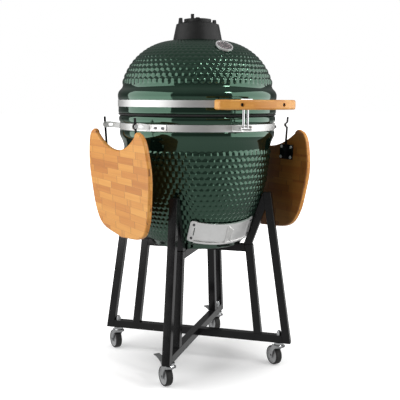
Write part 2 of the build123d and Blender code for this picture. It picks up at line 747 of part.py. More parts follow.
def shelf_bracket(side):
    """A bar that turns on the pivot pin, with a tail above it, and the plate under the board."""
    y = side * (ARM_Y + ARM_T / 2 + GAP + BAR_T / 2)
    foot = -BRACKET_DROP - BRACKET_PLATE[1] / 2
    bar = block(-BAR_W / 2, BAR_W / 2, y - BAR_T / 2, y + BAR_T / 2, foot, BAR_RISE)
    eye = rod((0, y - BAR_T / 2, 0), (0, y + BAR_T / 2, 0), SHELF_PIN_R + 4)
    centre = Pos(BAR_W / 2 + BRACKET_PLATE[2] / 2, side * BRACKET_Y, -BRACKET_DROP)
    plate = centre * Box(BRACKET_PLATE[2], BRACKET_PLATE[0], BRACKET_PLATE[1])
    bore = rod((0, y - BAR_T, 0), (0, y + BAR_T, 0), SHELF_PIN_R + FIT)
    return hung(bar + eye + plate - bore)


def shelf_screws():
    """Four pan-headed screws through each bracket plate into the board."""
    screws = []
    inner = BAR_W / 2
    for side in (-1, 1):
        for across in (-BRACKET_SCREWS[0], BRACKET_SCREWS[0]):
            for up in (-BRACKET_SCREWS[1], BRACKET_SCREWS[1]):
                y, z = side * BRACKET_Y + across, -BRACKET_DROP + up
                head = rod((inner - 2.5, y, z), (inner, y, z), 5)
                shank = rod((inner, y, z), (inner + BRACKET_PLATE[2] + 12, y, z), 2)
                screws.append(hung(head + shank))
    return screws


def make_shelves():
    write("shelf_arms", *four_ways(shelf_arm() - base_bolts()))
    write("shelf_pins", *four_ways(shelf_pin()))
    board = shelf_board()
    screws = shelf_screws()
    brackets = [shelf_bracket(-1), shelf_bracket(1)]
    board -= screws
    brackets = [bracket - screws for bracket in brackets]
    for name, place in (("right", lambda s: s), ("left", lambda s: mirror(s, Plane.YZ))):
        write(f"{name}_shelf_board", place(board))
        write(f"{name}_shelf_brackets", *[place(bracket) for bracket in brackets])
        write(f"{name}_shelf_screws", *[place(screw) for screw in screws])


# ---------------------------------------------------------------- hinge
def cheek(outline, x_inner):
    """A flat hinge plate drawn in (y, z), on the +X side."""
    plane = Plane(origin=(x_inner, 0, 0), x_dir=(0, 1, 0), z_dir=(1, 0, 0))
    return extrude(plane * make_face(Polyline(*outline, close=True)), STRAP_T)


def both_sides(solid):
    return solid + mirror(solid, Plane.YZ)


def hinge_eye(x_inner, radius):
    return rod((x_inner, HINGE_Y, HINGE_Z), (x_inner + STRAP_T, HINGE_Y, HINGE_Z), radius)


def make_hinge():
    """Two cheeked brackets on the bands, one pin, and two torsion springs that carry the lid's weight."""
    pin_line = ((-74, HINGE_Y, HINGE_Z), (74, HINGE_Y, HINGE_Z))
    base_half = degrees(asin((BASE_CHEEK_X + STRAP_T) / BASE_BAND_R))
    base = curved_tab(180 - base_half, 180 + base_half, BASE_BAND_R, *TAB_Z)
    outline = [(240, 779), (262, 779), (HINGE_Y + 10, HINGE_Z - 8), (HINGE_Y + 10, HINGE_Z),
               (HINGE_Y - 10, HINGE_Z + 2), (262, 806), (240, 806)]
    base += both_sides(cheek(outline, BASE_CHEEK_X) + hinge_eye(BASE_CHEEK_X, 12))
    base -= rod(*pin_line, HINGE_PIN_R)
    base -= ring(0, BASE_BAND_R, 770, 840)
    base -= ring(0, RIM_R + 0.5, BASE_BAND_Z[1], 840) + ring(0, BASE_R + 0.5, 770, BASE_BAND_Z[0])
    write("hinge_base_bracket", base - base_bolts())

    lid_half = degrees(asin((LID_CHEEK_X + STRAP_T) / LID_BAND_R))
    lid = curved_tab(180 - lid_half, 180 + lid_half, LID_BAND_R, 852, 879)
    outline = [(245, 852), (268, 852), (HINGE_Y - 9, HINGE_Z - 6), (HINGE_Y + 8, HINGE_Z - 6),
               (HINGE_Y + 11, HINGE_Z + 4), (276, 879), (245, 879)]
    lid += both_sides(cheek(outline, LID_CHEEK_X) + hinge_eye(LID_CHEEK_X, 12))
    lid -= rod(*pin_line, HINGE_PIN_R + FIT)
    write("hinge_lid_bracket", lid - ring(0, LID_BAND_R, 840, 890) - lid_bolts())

    pin = rod(*pin_line, HINGE_PIN_R)
    for side in (-1, 1):
        pin += rod((side * 66, HINGE_Y, HINGE_Z), (side * 70, HINGE_Y, HINGE_Z), HINGE_PIN_R + 4)
    write("hinge_pin", pin)
    springs = []
    for side in (-1, 1):
        ends = ((side * 14, HINGE_Y, HINGE_Z), (side * 50, HINGE_Y, HINGE_Z))
        springs.append(rod(*ends, 13) - rod(*ends, 9.5))
    write("hinge_springs", *springs)


# ---------------------------------------------------------------- handle, catch and latch
def handle_arc(y_end):
    return ThreePointArc((-HANDLE_HALF, y_end), (0, y_end - HANDLE_BOW), (HANDLE_HALF, y_end))


def handle_back_y(x):
    """The bowed back face of the grip at one place along it."""
    radius = (HANDLE_HALF**2 + HANDLE_BOW**2) / (2 * HANDLE_BOW)
    return HANDLE_END_Y + HANDLE_DEPTH - HANDLE_BOW + radius - sqrt(radius**2 - x * x)


def make_handle():
    """A bowed wooden grip on two steel straps from the lid band, and its bolts."""
    back = HANDLE_END_Y + HANDLE_DEPTH
    face = wire_face(
        handle_arc(HANDLE_END_Y),
        Line((HANDLE_HALF, HANDLE_END_Y), (HANDLE_HALF, back)),
        handle_arc(back),
        Line((-HANDLE_HALF, back), (-HANDLE_HALF, HANDLE_END_Y)),
    )
    grip = Pos(0, 0, HANDLE_Z[0]) * extrude(face, HANDLE_Z[1] - HANDLE_Z[0])
    grip = fillet(grip.edges().filter_by(Axis.Z), 9)
    level = grip.edges().group_by(Axis.Z)
    grip = fillet(level[0] + level[-1], 6)
    straps, bolts = [], []
    for side in (-1, 1):
        strap, bolt, cut = handle_fixing(side)
        straps.append(strap)
        bolts.append(bolt)
        grip -= cut
    write("handle_grip", grip)
    write("handle_brackets", *[strap - lid_bolts() for strap in straps])
    write("lid_bolts", *bolts, *lid_bolts())


STRAP_HALF = 10.0     # half height of a handle strap
BOLT_REACH = 30.0     # from a strap's pad to the seat of the bolt head inside the grip


def handle_fixing(side):
    """One steel strap, its bolt through the grip, and the room both need in the grip."""
    middle_z = sum(HANDLE_Z) / 2
    low, high = middle_z - STRAP_HALF, middle_z + STRAP_HALF
    x = side * HANDLE_WEB_X
    tip_x = x + side * HANDLE_PAD
    near, far = min(x, tip_x), max(x, tip_x)
    seat_y = handle_back_y(HANDLE_WEB_X)
    root_y = -sqrt(LID_BAND_R**2 - HANDLE_WEB_X**2)
    web = block(x - 1.5, x + 1.5, seat_y, root_y + 3, low, high)
    pad = block(near, far, seat_y, seat_y + TAB_T, low, high)
    foot = curved_tab(HANDLE_FOOT - 7, HANDLE_FOOT + 0.5, LID_BAND_R, low, high)
    if side < 0:
        foot = mirror(foot, Plane.YZ)
    strap = web + pad + foot - ring(0, LID_BAND_R, low - 1, high + 1)
    line_x = (x + tip_x) / 2
    front = seat_y - BOLT_REACH
    shank = rod((line_x, front, middle_z), (line_x, seat_y + TAB_T, middle_z), 3)
    head = rod((line_x, front - 3, middle_z), (line_x, front, middle_z), 5.5)
    nut = rod((line_x, seat_y + TAB_T, middle_z), (line_x, seat_y + TAB_T + 5, middle_z), 5)
    well = rod((line_x, front - 2 * HANDLE_DEPTH, middle_z), (line_x, front, middle_z), 5.5)
    recess = block(near - 2, far + 0.5, seat_y - 0.2, seat_y + HANDLE_DEPTH, low - 0.3, high + 0.3)
    return strap - shank, shank + head + nut, recess + well + shank


def make_catch():
    """A bent plate on the lid band: out level from the band, then down in a lip for the bail."""
    half_angle = degrees(asin(CATCH_HALF / LID_BAND_R))
    foot = curved_tab(-half_angle, half_angle, LID_BAND_R, 857, CATCH_TOP_Z)
    shelf = block(-CATCH_HALF, CATCH_HALF, CATCH_FRONT_Y, -LID_BAND_R + 2, CATCH_TOP_Z - 2.5, CATCH_TOP_Z)
    lip = block(-CATCH_HALF, CATCH_HALF, CATCH_FRONT_Y, CATCH_FRONT_Y + 2.5, CATCH_TOP_Z - 14, CATCH_TOP_Z)
    write("latch_catch", foot + shelf + lip - ring(0, LID_BAND_R, 840, 890) - lid_bolts())


def make_latch():
    """A wire bail that swings on a two-eared bracket at the front of the base band."""
    half_angle = degrees(asin((LATCH_EAR_X + 3) / BASE_BAND_R))
    foot = curved_tab(-half_angle, half_angle, BASE_BAND_R, *TAB_Z)
    ears = []
    for side in (-1, 1):
        x = side * (LATCH_EAR_X + 1.5)
        ears.append(block(x - 1.5, x + 1.5, LATCH_Y, -BASE_BAND_R + 8, LATCH_Z - 8, LATCH_Z + 7))
        ears.append(rod((x - 1.5, LATCH_Y, LATCH_Z - 0.5), (x + 1.5, LATCH_Y, LATCH_Z - 0.5), 7.5))
    bracket = foot + ears - ring(0, BASE_BAND_R, 770, 815)
    axle = LATCH_EAR_X + 5
    bracket -= rod((-axle, LATCH_Y, LATCH_Z), (axle, LATCH_Y, LATCH_Z), BAIL_ROD_R + FIT)
    write("latch_bracket", bracket - base_bolts())
    bail = rod((-axle, LATCH_Y, LATCH_Z), (axle, LATCH_Y, LATCH_Z), BAIL_ROD_R)
    for side in (-1, 1):
        x = side * BAIL_HALF
        bail += rod((x, LATCH_Y, LATCH_Z), (x, LATCH_Y, BAIL_TOP_Z), BAIL_ROD_R)
        bail += Pos(x, LATCH_Y, BAIL_TOP_Z) * Sphere(BAIL_ROD_R)
    bail += rod((-BAIL_HALF, LATCH_Y, BAIL_TOP_Z), (BAIL_HALF, LATCH_Y, BAIL_TOP_Z), BAIL_ROD_R)
    write("latch_bail", bail)


def make_bands():
    write("base_band", split_band(BAND_SEAT_R, *BASE_BAND_Z) - base_bolts())
    write("lid_band", split_band(LID_R, *LID_BAND_Z) - lid_bolts())
    write("base_band_bolts", *base_bolts())


# ---------------------------------------------------------------- draft vent
def vent_plane():
    """On the axis of the plate's bend: local z runs up the wall, local -y out of the middle."""
    lean = radians(VENT_LEAN)
    origin = (0, VENT_MID_Y + VENT_BEND_R * cos(lean), VENT_MID_Z + VENT_BEND_R * sin(lean))
    return Plane(origin=origin, x_dir=(1, 0, 0), z_dir=(0, -sin(lean), cos(lean)))


def vent_skin(low, high, offset, thickness, angle_low, angle_high):
    """A part of the bent sheet, a given distance in front of the plate's back face."""
    inner = VENT_BEND_R + offset
    sector = wedge(angle_low, angle_high, 2 * inner, low - 1, high + 1)
    return ring(inner, inner + thickness, low, high) & sector


DOOR_LIFT = PLATE_T + GAP
VENT_SCREW_SPOTS = [(side * VENT_SCREW_ANGLE, end * VENT_SCREW_UP) for side in (-1, 1) for end in (-1, 1)]


def vent_plate():
    """The bent plate with round corners, its port, and a slot in each end beside the door."""
    half = VENT_TALL / 2
    plate = vent_skin(-half, half, 0, PLATE_T, -VENT_HALF, VENT_HALF)
    width = 2 * (VENT_BEND_R + PLATE_T) * sin(radians(VENT_HALF))
    plate &= extrude(Plane.XZ * RectangleRounded(width, VENT_TALL, VENT_CORNER_R), VENT_BEND_R + 10)
    plate -= wedge(*PORT_SPAN, 2 * VENT_BEND_R, -PORT_TALL / 2, PORT_TALL / 2)
    slot_up = VENT_SCREW_UP - 10
    for side in (-1, 1):
        slot_angle = side * (VENT_SCREW_ANGLE - 1.2)
        plate -= wedge(slot_angle - 0.4, slot_angle + 0.4, 2 * VENT_BEND_R, -slot_up, slot_up)
    return plate


def make_vent():
    """A steel plate over the draft port with folded rails, and the door that slides round between them."""
    half = VENT_TALL / 2
    plate = vent_plate()
    lip = DOOR_LIFT + PLATE_T + GAP
    for side in (-1, 1):
        edge, inward = side * half, side * (half - RAIL_H)
        rail = vent_skin(min(edge, inward), max(edge, inward), 0, lip + PLATE_T, -RAIL_HALF, RAIL_HALF)
        edge, inward = side * (half - PLATE_T), side * (half - RAIL_H - 1)
        channel = (min(edge, inward), max(edge, inward), PLATE_T, DOOR_LIFT + GAP)
        plate += rail - vent_skin(*channel, -VENT_HALF, VENT_HALF)
    for spot in VENT_SCREW_SPOTS:
        plate -= vent_peg(*spot, 2.2, -10, 10)
    write("vent_frame", vent_plane() * plate)
    door_half = half - PLATE_T - GAP
    door = vent_skin(-door_half, door_half, DOOR_LIFT, PLATE_T, *DOOR_SPAN)
    tab_half = door_half - RAIL_H - 7
    door += vent_skin(-tab_half, tab_half, DOOR_LIFT, DOOR_TAB_RISE, *DOOR_TAB)
    write("vent_door", vent_plane() * door)
    write("vent_screws", *[vent_plane() * vent_screw(*spot) for spot in VENT_SCREW_SPOTS])


def vent_peg(angle, up, radius, low, high):
    """A round peg square to the plate, from low to high in front of its back face."""
    seat = (*front_point(angle, VENT_BEND_R + low), up)
    return rod(seat, (*front_point(angle, VENT_BEND_R + high), up), radius)


def vent_screw(angle, up):
    """A pan-headed screw through the plate into the ceramic wall."""
    return vent_peg(angle, up, 2.1, -4, PLATE_T + 1) + vent_peg(angle, up, 4, PLATE_T + 0.1, PLATE_T + 2.1)


# ---------------------------------------------------------------- chimney cap and damper
def windows(z_low, z_high, offset):
    """The sector openings of the damper, evenly spaced."""
    cut = None
    for index in range(WINDOWS):
        centre = offset + index * 360 / WINDOWS
        span = wedge(centre - WINDOW_SPAN / 2, centre + WINDOW_SPAN / 2, WINDOW_R[1], z_low, z_high)
        sector = span - ring(0, WINDOW_R[0], z_low - 1, z_high + 1)
        cut = sector if cut is None else cut + sector
    return cut


def make_cap():
    """A cast-iron cone over the chimney neck, with two lugs, a stepped seat and its windows."""
    cap = turned_polygon(
        (CAP_BOTTOM_R - CAP_WALL, CAP_BOTTOM_Z),
        (CAP_BOTTOM_R, CAP_BOTTOM_Z),
        (CAP_TOP_R, CAP_TOP_Z),
        (STEP_R + 3, CAP_TOP_Z),
        (STEP_R, CAP_TOP_Z + STEP_H),
        (DAMPER_BOLT_R, CAP_TOP_Z + STEP_H),
        (DAMPER_BOLT_R, CAP_TOP_Z + STEP_H - CAP_WALL),
        (STEP_R - 4, CAP_TOP_Z + STEP_H - CAP_WALL),
        (STEP_R - 2, CAP_TOP_Z - CAP_WALL),
        (CAP_TOP_R - CAP_WALL, CAP_TOP_Z - CAP_WALL),
    )
    foot, top = CAP_TOP_Z - 2, CAP_TOP_Z + 18
    lug = make_face(Polyline((56, foot), (68.6, foot), (65.5, top), (58, top), close=True))
    lugs = both_sides(extrude(Plane.XZ * lug, 5.5, both=True))
    write("vent_cap", cap + lugs - windows(CAP_TOP_Z - 10, 1140, 0))

    seat = CAP_TOP_Z + STEP_H + GAP
    bore_r = DAMPER_BOLT_R + FIT
    disc = turned(
        wire_face(
            Line((bore_r, seat), (DISC_R, seat)),
            Line((DISC_R, seat), (DISC_R, DISC_RIM_Z)),
            ThreePointArc((DISC_R, DISC_RIM_Z), (28, DISC_RIM_Z + 2), (bore_r, DISC_CENTRE_Z)),
            Line((bore_r, DISC_CENTRE_Z), (bore_r, seat)),
        )
    )
    disc -= ring(DAMPER_BOLT_R + 4, DISC_R - DISC_WALL, seat + DISC_WALL, DISC_RIM_Z - DISC_WALL)
    disc -= windows(seat - 1, DISC_CENTRE_Z + 5, 45)
    disc += Pos(*KNOB_XY, 0) * ring(0, 5.5, seat, KNOB_TOP_Z)
    write("damper_disc", disc)
    bolt = ring(0, DAMPER_BOLT_R, CAP_TOP_Z + STEP_H - CAP_WALL - 5, DISC_CENTRE_Z + 2)
    bolt += Pos(0, 0, DISC_CENTRE_Z + GAP) * extrude(RegularPolygon(7.5, 6), 3.2)
    bolt += ring(DAMPER_BOLT_R - 1, 7.5, CAP_TOP_Z + STEP_H - CAP_WALL - 5, CAP_TOP_Z + STEP_H - CAP_WALL)
    write("damper_bolt", bolt)


# ---------------------------------------------------------------- thermometer
def make_thermometer():
    """A bimetal dial gauge through the dome: case with probe, dial, needle and glass."""
    case = thermo_disc(0, THERMO_CASE_R - 3, 1.0, 5) + thermo_disc(0, THERMO_CASE_R, 4, 9)
    case -= thermo_disc(0, DIAL_R + 0.5, 2.5, 10)
    case += thermo_disc(0, 4.5, -62, 2)
    write("thermometer_case", case)
    write("thermometer_dial", thermo_disc(0, DIAL_R + 0.5, 3.0, 4.0))
    write("thermometer_glass", thermo_disc(0, DIAL_R + 0.5, 7, 8.2))
    blade = make_face(Polyline((-1.6, -6), (1.6, -6), (0.5, 18), (-0.5, 18), close=True))
    blade = extrude(thermo_plane() * Pos(0, 0, 4.8) * Rot(0, 0, 130) * blade, 0.8)
    write("thermometer_needle", blade + thermo_disc(0, 2.6, 4.4, 6.4))


make_stand()
make_casters()
make_base_shell()
make_fire_box()
make_fire_ring()
make_cooking_grate()
make_gaskets()
make_lid_shell()
make_bands()
make_shelves()
make_hinge()
make_handle()
make_catch()
make_latch()
make_vent()
make_cap()
make_thermometer()
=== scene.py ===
"""Looks of a dimpled ceramic kamado grill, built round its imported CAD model.

Everything is in metres in the CAD model's frame: the origin is on the floor under the middle of the
round body, the front is -Y, the side shelves are at -X and +X, and the lid's hinge is at +Y.
"""

import json
import math

import bmesh
import bpy
import numpy as np
from mathutils import Matrix, Vector


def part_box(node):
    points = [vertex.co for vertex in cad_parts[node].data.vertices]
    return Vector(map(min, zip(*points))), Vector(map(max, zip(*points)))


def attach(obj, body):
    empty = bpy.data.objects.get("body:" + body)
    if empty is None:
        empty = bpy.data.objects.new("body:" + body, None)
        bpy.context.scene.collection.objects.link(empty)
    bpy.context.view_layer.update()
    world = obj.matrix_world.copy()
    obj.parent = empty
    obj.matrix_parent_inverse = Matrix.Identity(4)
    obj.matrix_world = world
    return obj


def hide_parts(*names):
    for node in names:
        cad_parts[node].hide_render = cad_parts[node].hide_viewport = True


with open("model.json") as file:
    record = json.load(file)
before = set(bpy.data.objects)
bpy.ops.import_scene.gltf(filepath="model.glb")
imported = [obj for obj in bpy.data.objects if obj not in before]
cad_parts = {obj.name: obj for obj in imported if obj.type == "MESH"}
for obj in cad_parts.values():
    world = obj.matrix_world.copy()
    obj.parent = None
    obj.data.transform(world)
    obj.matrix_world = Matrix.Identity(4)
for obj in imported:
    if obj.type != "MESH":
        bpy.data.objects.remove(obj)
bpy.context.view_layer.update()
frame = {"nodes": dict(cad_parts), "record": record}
nodes = frame["nodes"]

MM = 0.001


# ---------------------------------------------------------------- materials
class Graph:
    """Short spellings for building one material out of nodes."""

    def __init__(self, name):
        self.material = bpy.data.materials.new(name)
        self.material.use_nodes = True
        self.tree = self.material.node_tree
        self.tree.nodes.clear()
        output = self.tree.nodes.new("ShaderNodeOutputMaterial")
        self.shader = self.tree.nodes.new("ShaderNodeBsdfPrincipled")
        self.tree.links.new(self.shader.outputs["BSDF"], output.inputs["Surface"])

    def put(self, socket, value):
        """Link or set one input."""
        if isinstance(value, bpy.types.NodeSocket):
            self.tree.links.new(value, socket)
        else:
            socket.default_value = value

    def node(self, kind, settings=None, **inputs):
        """A new node; keyword inputs use the socket's name with spaces as underscores."""
        made = self.tree.nodes.new("ShaderNode" + kind)
        for key, value in (settings or {}).items():
            setattr(made, key, value)
        for key, value in inputs.items():
            self.put(made.inputs[key.replace("_", " ")], value)
        return made

    def math(self, operation, *values):
        made = self.tree.nodes.new("ShaderNodeMath")
        made.operation = operation
        for socket, value in zip(made.inputs, values):
            self.put(socket, value)
        return made.outputs[0]

    def vector(self, operation, *values):
        made = self.tree.nodes.new("ShaderNodeVectorMath")
        made.operation = operation
        for socket, value in zip(made.inputs, values):
            self.put(socket, value)
        return made.outputs["Value" if operation in ("LENGTH", "DOT_PRODUCT") else "Vector"]

    def place(self, scale=(1, 1, 1)):
        """The point on the surface in the object's frame, stretched."""
        return self.vector("MULTIPLY", self.node("TexCoord").outputs["Object"], scale)

    def axes(self):
        """The x, y and z of the point on the surface."""
        return self.node("SeparateXYZ", Vector=self.place()).outputs[:3]

    def point(self, x=0.0, y=0.0, z=0.0):
        return self.node("CombineXYZ", X=x, Y=y, Z=z).outputs[0]

    def around(self):
        """Angle about the body's axis, and the height, as sockets."""
        x, y, z = self.axes()
        return self.math("ARCTAN2", x, self.math("MULTIPLY", y, -1.0)), z

    def noise(self, scale, point=None, detail=3.0, rough=0.5):
        made = self.node("TexNoise", Scale=scale, Detail=detail, Roughness=rough)
        self.put(made.inputs["Vector"], point or self.place())
        return made.outputs["Fac"]

    def random(self, *values):
        """One random number from two or three others."""
        point = self.point(*values)
        return self.node("TexWhiteNoise", {"noise_dimensions": "3D"}, Vector=point).outputs["Value"]

    def ramp(self, factor, *stops):
        """Colours along a factor: (position, (r, g, b)) stops."""
        made = self.node("ValToRGB", Fac=factor)
        elements = made.color_ramp.elements
        while len(elements) < len(stops):
            elements.new(0.5)
        for element, (position, color) in zip(elements, stops):
            element.position = position
            element.color = (*color, 1.0)
        return made.outputs["Color"]

    def spread(self, factor, low, high, start=0.0, end=1.0):
        """A factor between start and end turned into a number between low and high."""
        made = self.node("MapRange")
        for key, value in (("Value", factor), ("From Min", start), ("From Max", end), ("To Min", low),
                           ("To Max", high)):
            self.put(made.inputs[key], value)
        return made.outputs["Result"]

    def mix(self, factor, first, second, blend="MIX"):
        made = self.tree.nodes.new("ShaderNodeMix")
        made.data_type = "RGBA"
        made.blend_type = blend
        self.put(made.inputs["Factor"], factor)
        self.put(made.inputs["A"], first if isinstance(first, bpy.types.NodeSocket) else (*first, 1.0))
        self.put(made.inputs["B"], second if isinstance(second, bpy.types.NodeSocket) else (*second, 1.0))
        return made.outputs["Result"]

    def bump(self, height, distance):
        return self.node("Bump", Height=height, Distance=distance, Strength=1.0).outputs["Normal"]

    def seam(self, value, width):
        """1 where a value is within width of a whole number."""
        part = self.math("FRACT", value)
        gap = self.math("MINIMUM", part, self.math("SUBTRACT", 1.0, part))
        return self.spread(gap, 1.0, 0.0, width * 0.5, width * 1.5 + 1e-4)

    def surface(self, **inputs):
        """Set the shader's inputs and hand back the finished material."""
        for key, value in inputs.items():
            name = key.replace("_", " ")
            if name == "Base Color" and not isinstance(value, bpy.types.NodeSocket):
                value = (*value, 1.0)
            self.put(self.shader.inputs[name], value)
        return self.material


def glaze():
    """Deep green glaze, faintly wavy: lighter on the crests and darker in the valleys, partly from thinner
    and pooled glaze and partly as painted light on the bump tops and painted shade between them.
    """
    g = Graph("green_glaze")
    lift = g.node("Attribute", {"attribute_name": "crest"}).outputs["Fac"]
    cloud = g.noise(11.0, detail=4.0)
    body = g.ramp(cloud, (0.3, (0.003, 0.0085, 0.0055)), (0.7, (0.005, 0.014, 0.009)))
    # painted light and shade: crests are mixed toward a lighter green, partly thin glaze, partly a painted
    # highlight on each bump top
    body = g.mix(g.math("MULTIPLY", lift, 0.35), body, (0.010, 0.030, 0.019))
    speck = g.spread(g.noise(950.0, detail=1.0), 0.0, 1.0, 0.66, 0.72)
    body = g.mix(g.math("MULTIPLY", speck, 0.35), body, (0.002, 0.005, 0.003))
    wave = g.bump(g.noise(70.0, detail=2.0), 0.12 * MM)
    rough = g.spread(g.noise(26.0), 0.04, 0.09)
    return g.surface(Base_Color=body, Roughness=rough, Normal=wave, IOR=1.9,
                     Specular_Tint=(0.56, 1.0, 0.73, 1.0))


def fire_clay():
    """Matt fired clay with a sandy grain."""
    g = Graph("fire_clay")
    sand = g.noise(420.0, detail=6.0, rough=0.7)
    cloud = g.noise(14.0)
    tone = g.ramp(g.math("ADD", g.math("MULTIPLY", sand, 0.4), g.math("MULTIPLY", cloud, 0.6)),
                  (0.35, (0.30, 0.24, 0.18)), (0.65, (0.47, 0.39, 0.30)))
    return g.surface(Base_Color=tone, Roughness=0.9, Normal=g.bump(sand, 0.3 * MM))


def powder_coat():
    """Black powder coat: glossy with a fine orange peel."""
    g = Graph("black_powder_coat")
    peel = g.noise(850.0, detail=2.0)
    dust = g.noise(22.0, detail=5.0)
    color = g.ramp(dust, (0.35, (0.005, 0.005, 0.00525)), (0.75, (0.010, 0.010, 0.0105)))
    return g.surface(Base_Color=color, Roughness=g.spread(dust, 0.12, 0.27),
                     Normal=g.bump(peel, 0.05 * MM), IOR=1.4)


def cast_iron(name, tone):
    """Sand-cast iron under matt black paint: coarse pitted grain."""
    g = Graph(name)
    pits = g.noise(620.0, detail=5.0, rough=0.65)
    swell = g.noise(60.0)
    color = g.ramp(swell, (0.3, (tone, tone, tone)), (0.7, (tone * 1.9, tone * 1.9, tone * 1.9)))
    height = g.math("ADD", pits, g.math("MULTIPLY", swell, 1.5))
    return g.surface(Base_Color=color, Roughness=g.spread(pits, 0.42, 0.62),
                     Normal=g.bump(height, 0.22 * MM), IOR=1.4)


def band_steel():
    """Stainless strip brushed lengthwise round the body."""
    g = Graph("band_steel")
    angle, z = g.around()
    strokes = g.noise(1.0, g.point(g.math("MULTIPLY", angle, 9.0), g.math("MULTIPLY", z, 3200.0)), 4.0, 0.6)
    cloud = g.noise(30.0)
    color = g.ramp(strokes, (0.3, (0.56, 0.56, 0.555)), (0.7, (0.72, 0.72, 0.71)))
    rough = g.math("ADD", g.spread(strokes, 0.4, 0.52), g.spread(cloud, -0.02, 0.04))
    return g.surface(Base_Color=color, Metallic=1.0, Roughness=rough, Normal=g.bump(strokes, 0.02 * MM))


def bright_metal(name, dark, light, low_rough, high_rough, metallic=1.0):
    """Plated or polished metal with faint smudges and fine scratches; less metallic where it is hazy."""
    g = Graph(name)
    smudge = g.noise(45.0, detail=5.0)
    scratch = g.noise(900.0, g.place((1.0, 1.0, 0.12)), 2.0, 0.6)
    color = g.ramp(smudge, (0.3, dark), (0.7, light))
    rough = g.math("ADD", g.spread(smudge, low_rough, high_rough), g.spread(scratch, -0.03, 0.03))
    return g.surface(Base_Color=color, Metallic=metallic, Roughness=rough,
                     Normal=g.bump(scratch, 0.015 * MM))


def rubber():
    g = Graph("caster_rubber")
    dust = g.noise(120.0, detail=6.0, rough=0.65)
    color = g.ramp(dust, (0.3, (0.010, 0.010, 0.010)), (0.8, (0.035, 0.034, 0.033)))
    return g.surface(Base_Color=color, Roughness=g.spread(dust, 0.55, 0.8), Normal=g.bump(dust, 0.12 * MM))


def moulded_plastic():
    g = Graph("caster_hub")
    grain = g.noise(1400.0, detail=2.0)
    cloud = g.noise(40.0)
    color = g.ramp(cloud, (0.3, (0.30, 0.305, 0.31)), (0.7, (0.38, 0.385, 0.39)))
    return g.surface(Base_Color=color, Roughness=0.42, Normal=g.bump(grain, 0.05 * MM))


def felt():
    """Grey fibre rope gasket."""
    g = Graph("grey_felt")
    fibre = g.noise(1600.0, g.place((1.0, 1.0, 0.4)), 5.0, 0.7)
    color = g.ramp(fibre, (0.3, (0.012, 0.012, 0.012)), (0.75, (0.05, 0.05, 0.048)))
    return g.surface(Base_Color=color, Roughness=0.95, Normal=g.bump(fibre, 0.3 * MM))


BLOCK_LENGTH = 0.118    # of one strip between its butt joints
BLOCK_HEIGHT = 0.0213   # width of one strip
UNBROKEN = 40.0         # a strip far longer than the wood it is in


def bamboo(name, along, across, through, layer, straight=False):
    """Bamboo laminated out of strips.

    along, across and through are the axes (0 x, 1 y, 2 z) of the strips' length, their width and the
    board's thickness; layer is the thickness of one lamination seen at the edge. Straight strips run
    the whole length without a butt joint and are a little lighter.
    """
    g = Graph(name)
    xyz = g.axes()
    run, height, depth = xyz[along], xyz[across], xyz[through]
    row = g.math("FLOOR", g.math("DIVIDE", height, BLOCK_HEIGHT))
    ply = g.math("FLOOR", g.math("DIVIDE", depth, layer))
    shift = g.math("MULTIPLY", g.random(row, ply), 5.0)
    length = UNBROKEN if straight else BLOCK_LENGTH
    place_along = g.math("ADD", g.math("DIVIDE", run, length), shift)
    block = g.math("FLOOR", place_along)
    tint = g.random(row, block, ply)
    fibre_point = g.point(g.math("MULTIPLY", run, 9.0), g.math("MULTIPLY", height, 420.0),
                          g.math("ADD", g.math("MULTIPLY", depth, 420.0), g.math("MULTIPLY", tint, 40.0)))
    fibre = g.noise(1.0, fibre_point, 4.0, 0.62)
    streak_point = g.point(g.math("MULTIPLY", run, 3.0), g.math("MULTIPLY", height, 95.0),
                           g.math("MULTIPLY", tint, 17.0))
    streak = g.noise(1.0, streak_point, 3.0)
    tone = g.math("ADD", g.math("MULTIPLY", tint, 0.38), g.math("MULTIPLY", streak, 0.34))
    tone = g.math("ADD", tone, g.math("MULTIPLY", fibre, 0.28))
    tone = g.math("ADD", tone, 0.14 if straight else 0.0)
    wood = g.ramp(tone, (0.15, (0.44, 0.14, 0.018)), (0.42, (0.63, 0.245, 0.040)),
                  (0.62, (0.74, 0.33, 0.062)), (0.85, (0.84, 0.43, 0.105)))
    seam_across = g.seam(g.math("DIVIDE", height, BLOCK_HEIGHT), 0.018)
    seam_along = g.seam(place_along, 0.009 if not straight else 0.0)
    knuckle_point = g.point(g.math("MULTIPLY", run, 30.0), g.math("MULTIPLY", row, 7.3), tint)
    knuckle = g.spread(g.noise(1.0, knuckle_point, 1.0), 0.0, 1.0, 0.68, 0.78)
    seam = g.math("MAXIMUM", g.math("MULTIPLY", seam_across, 0.35), g.math("MULTIPLY", seam_along, 0.8))
    seam = g.math("MAXIMUM", seam, g.math("MULTIPLY", knuckle, 0.25))
    wood = g.mix(seam, wood, (0.24, 0.095, 0.028))
    # painted shade: each board's inner face, toward the body, is darkened to stand for the shade the body
    # throws on it
    painted_shade_side = g.node("Attribute", {"attribute_name": "painted_shade_side"}).outputs["Fac"]
    wood = g.mix(g.math("MULTIPLY", painted_shade_side, 0.9), wood, g.mix(1.0, wood, (0.36, 0.30, 0.26), "MULTIPLY"))
    relief = g.math("SUBTRACT", g.math("MULTIPLY", fibre, 0.35), seam)
    return g.surface(Base_Color=wood, Roughness=g.spread(fibre, 0.34, 0.5),
                     Normal=g.bump(relief, 0.12 * MM), Coat_Weight=0.12, Coat_Roughness=0.25)


def dial_paint():
    g = Graph("dial_face")
    cloud = g.noise(160.0, detail=5.0)
    color = g.ramp(cloud, (0.3, (0.17, 0.115, 0.125)), (0.7, (0.24, 0.175, 0.185)))
    return g.surface(Base_Color=color, Roughness=0.5, Normal=g.bump(cloud, 0.02 * MM))


def needle_paint():
    g = Graph("needle_paint")
    cloud = g.noise(500.0)
    color = g.ramp(cloud, (0.3, (0.02, 0.02, 0.02)), (0.7, (0.05, 0.05, 0.05)))
    return g.surface(Base_Color=color, Roughness=0.4)


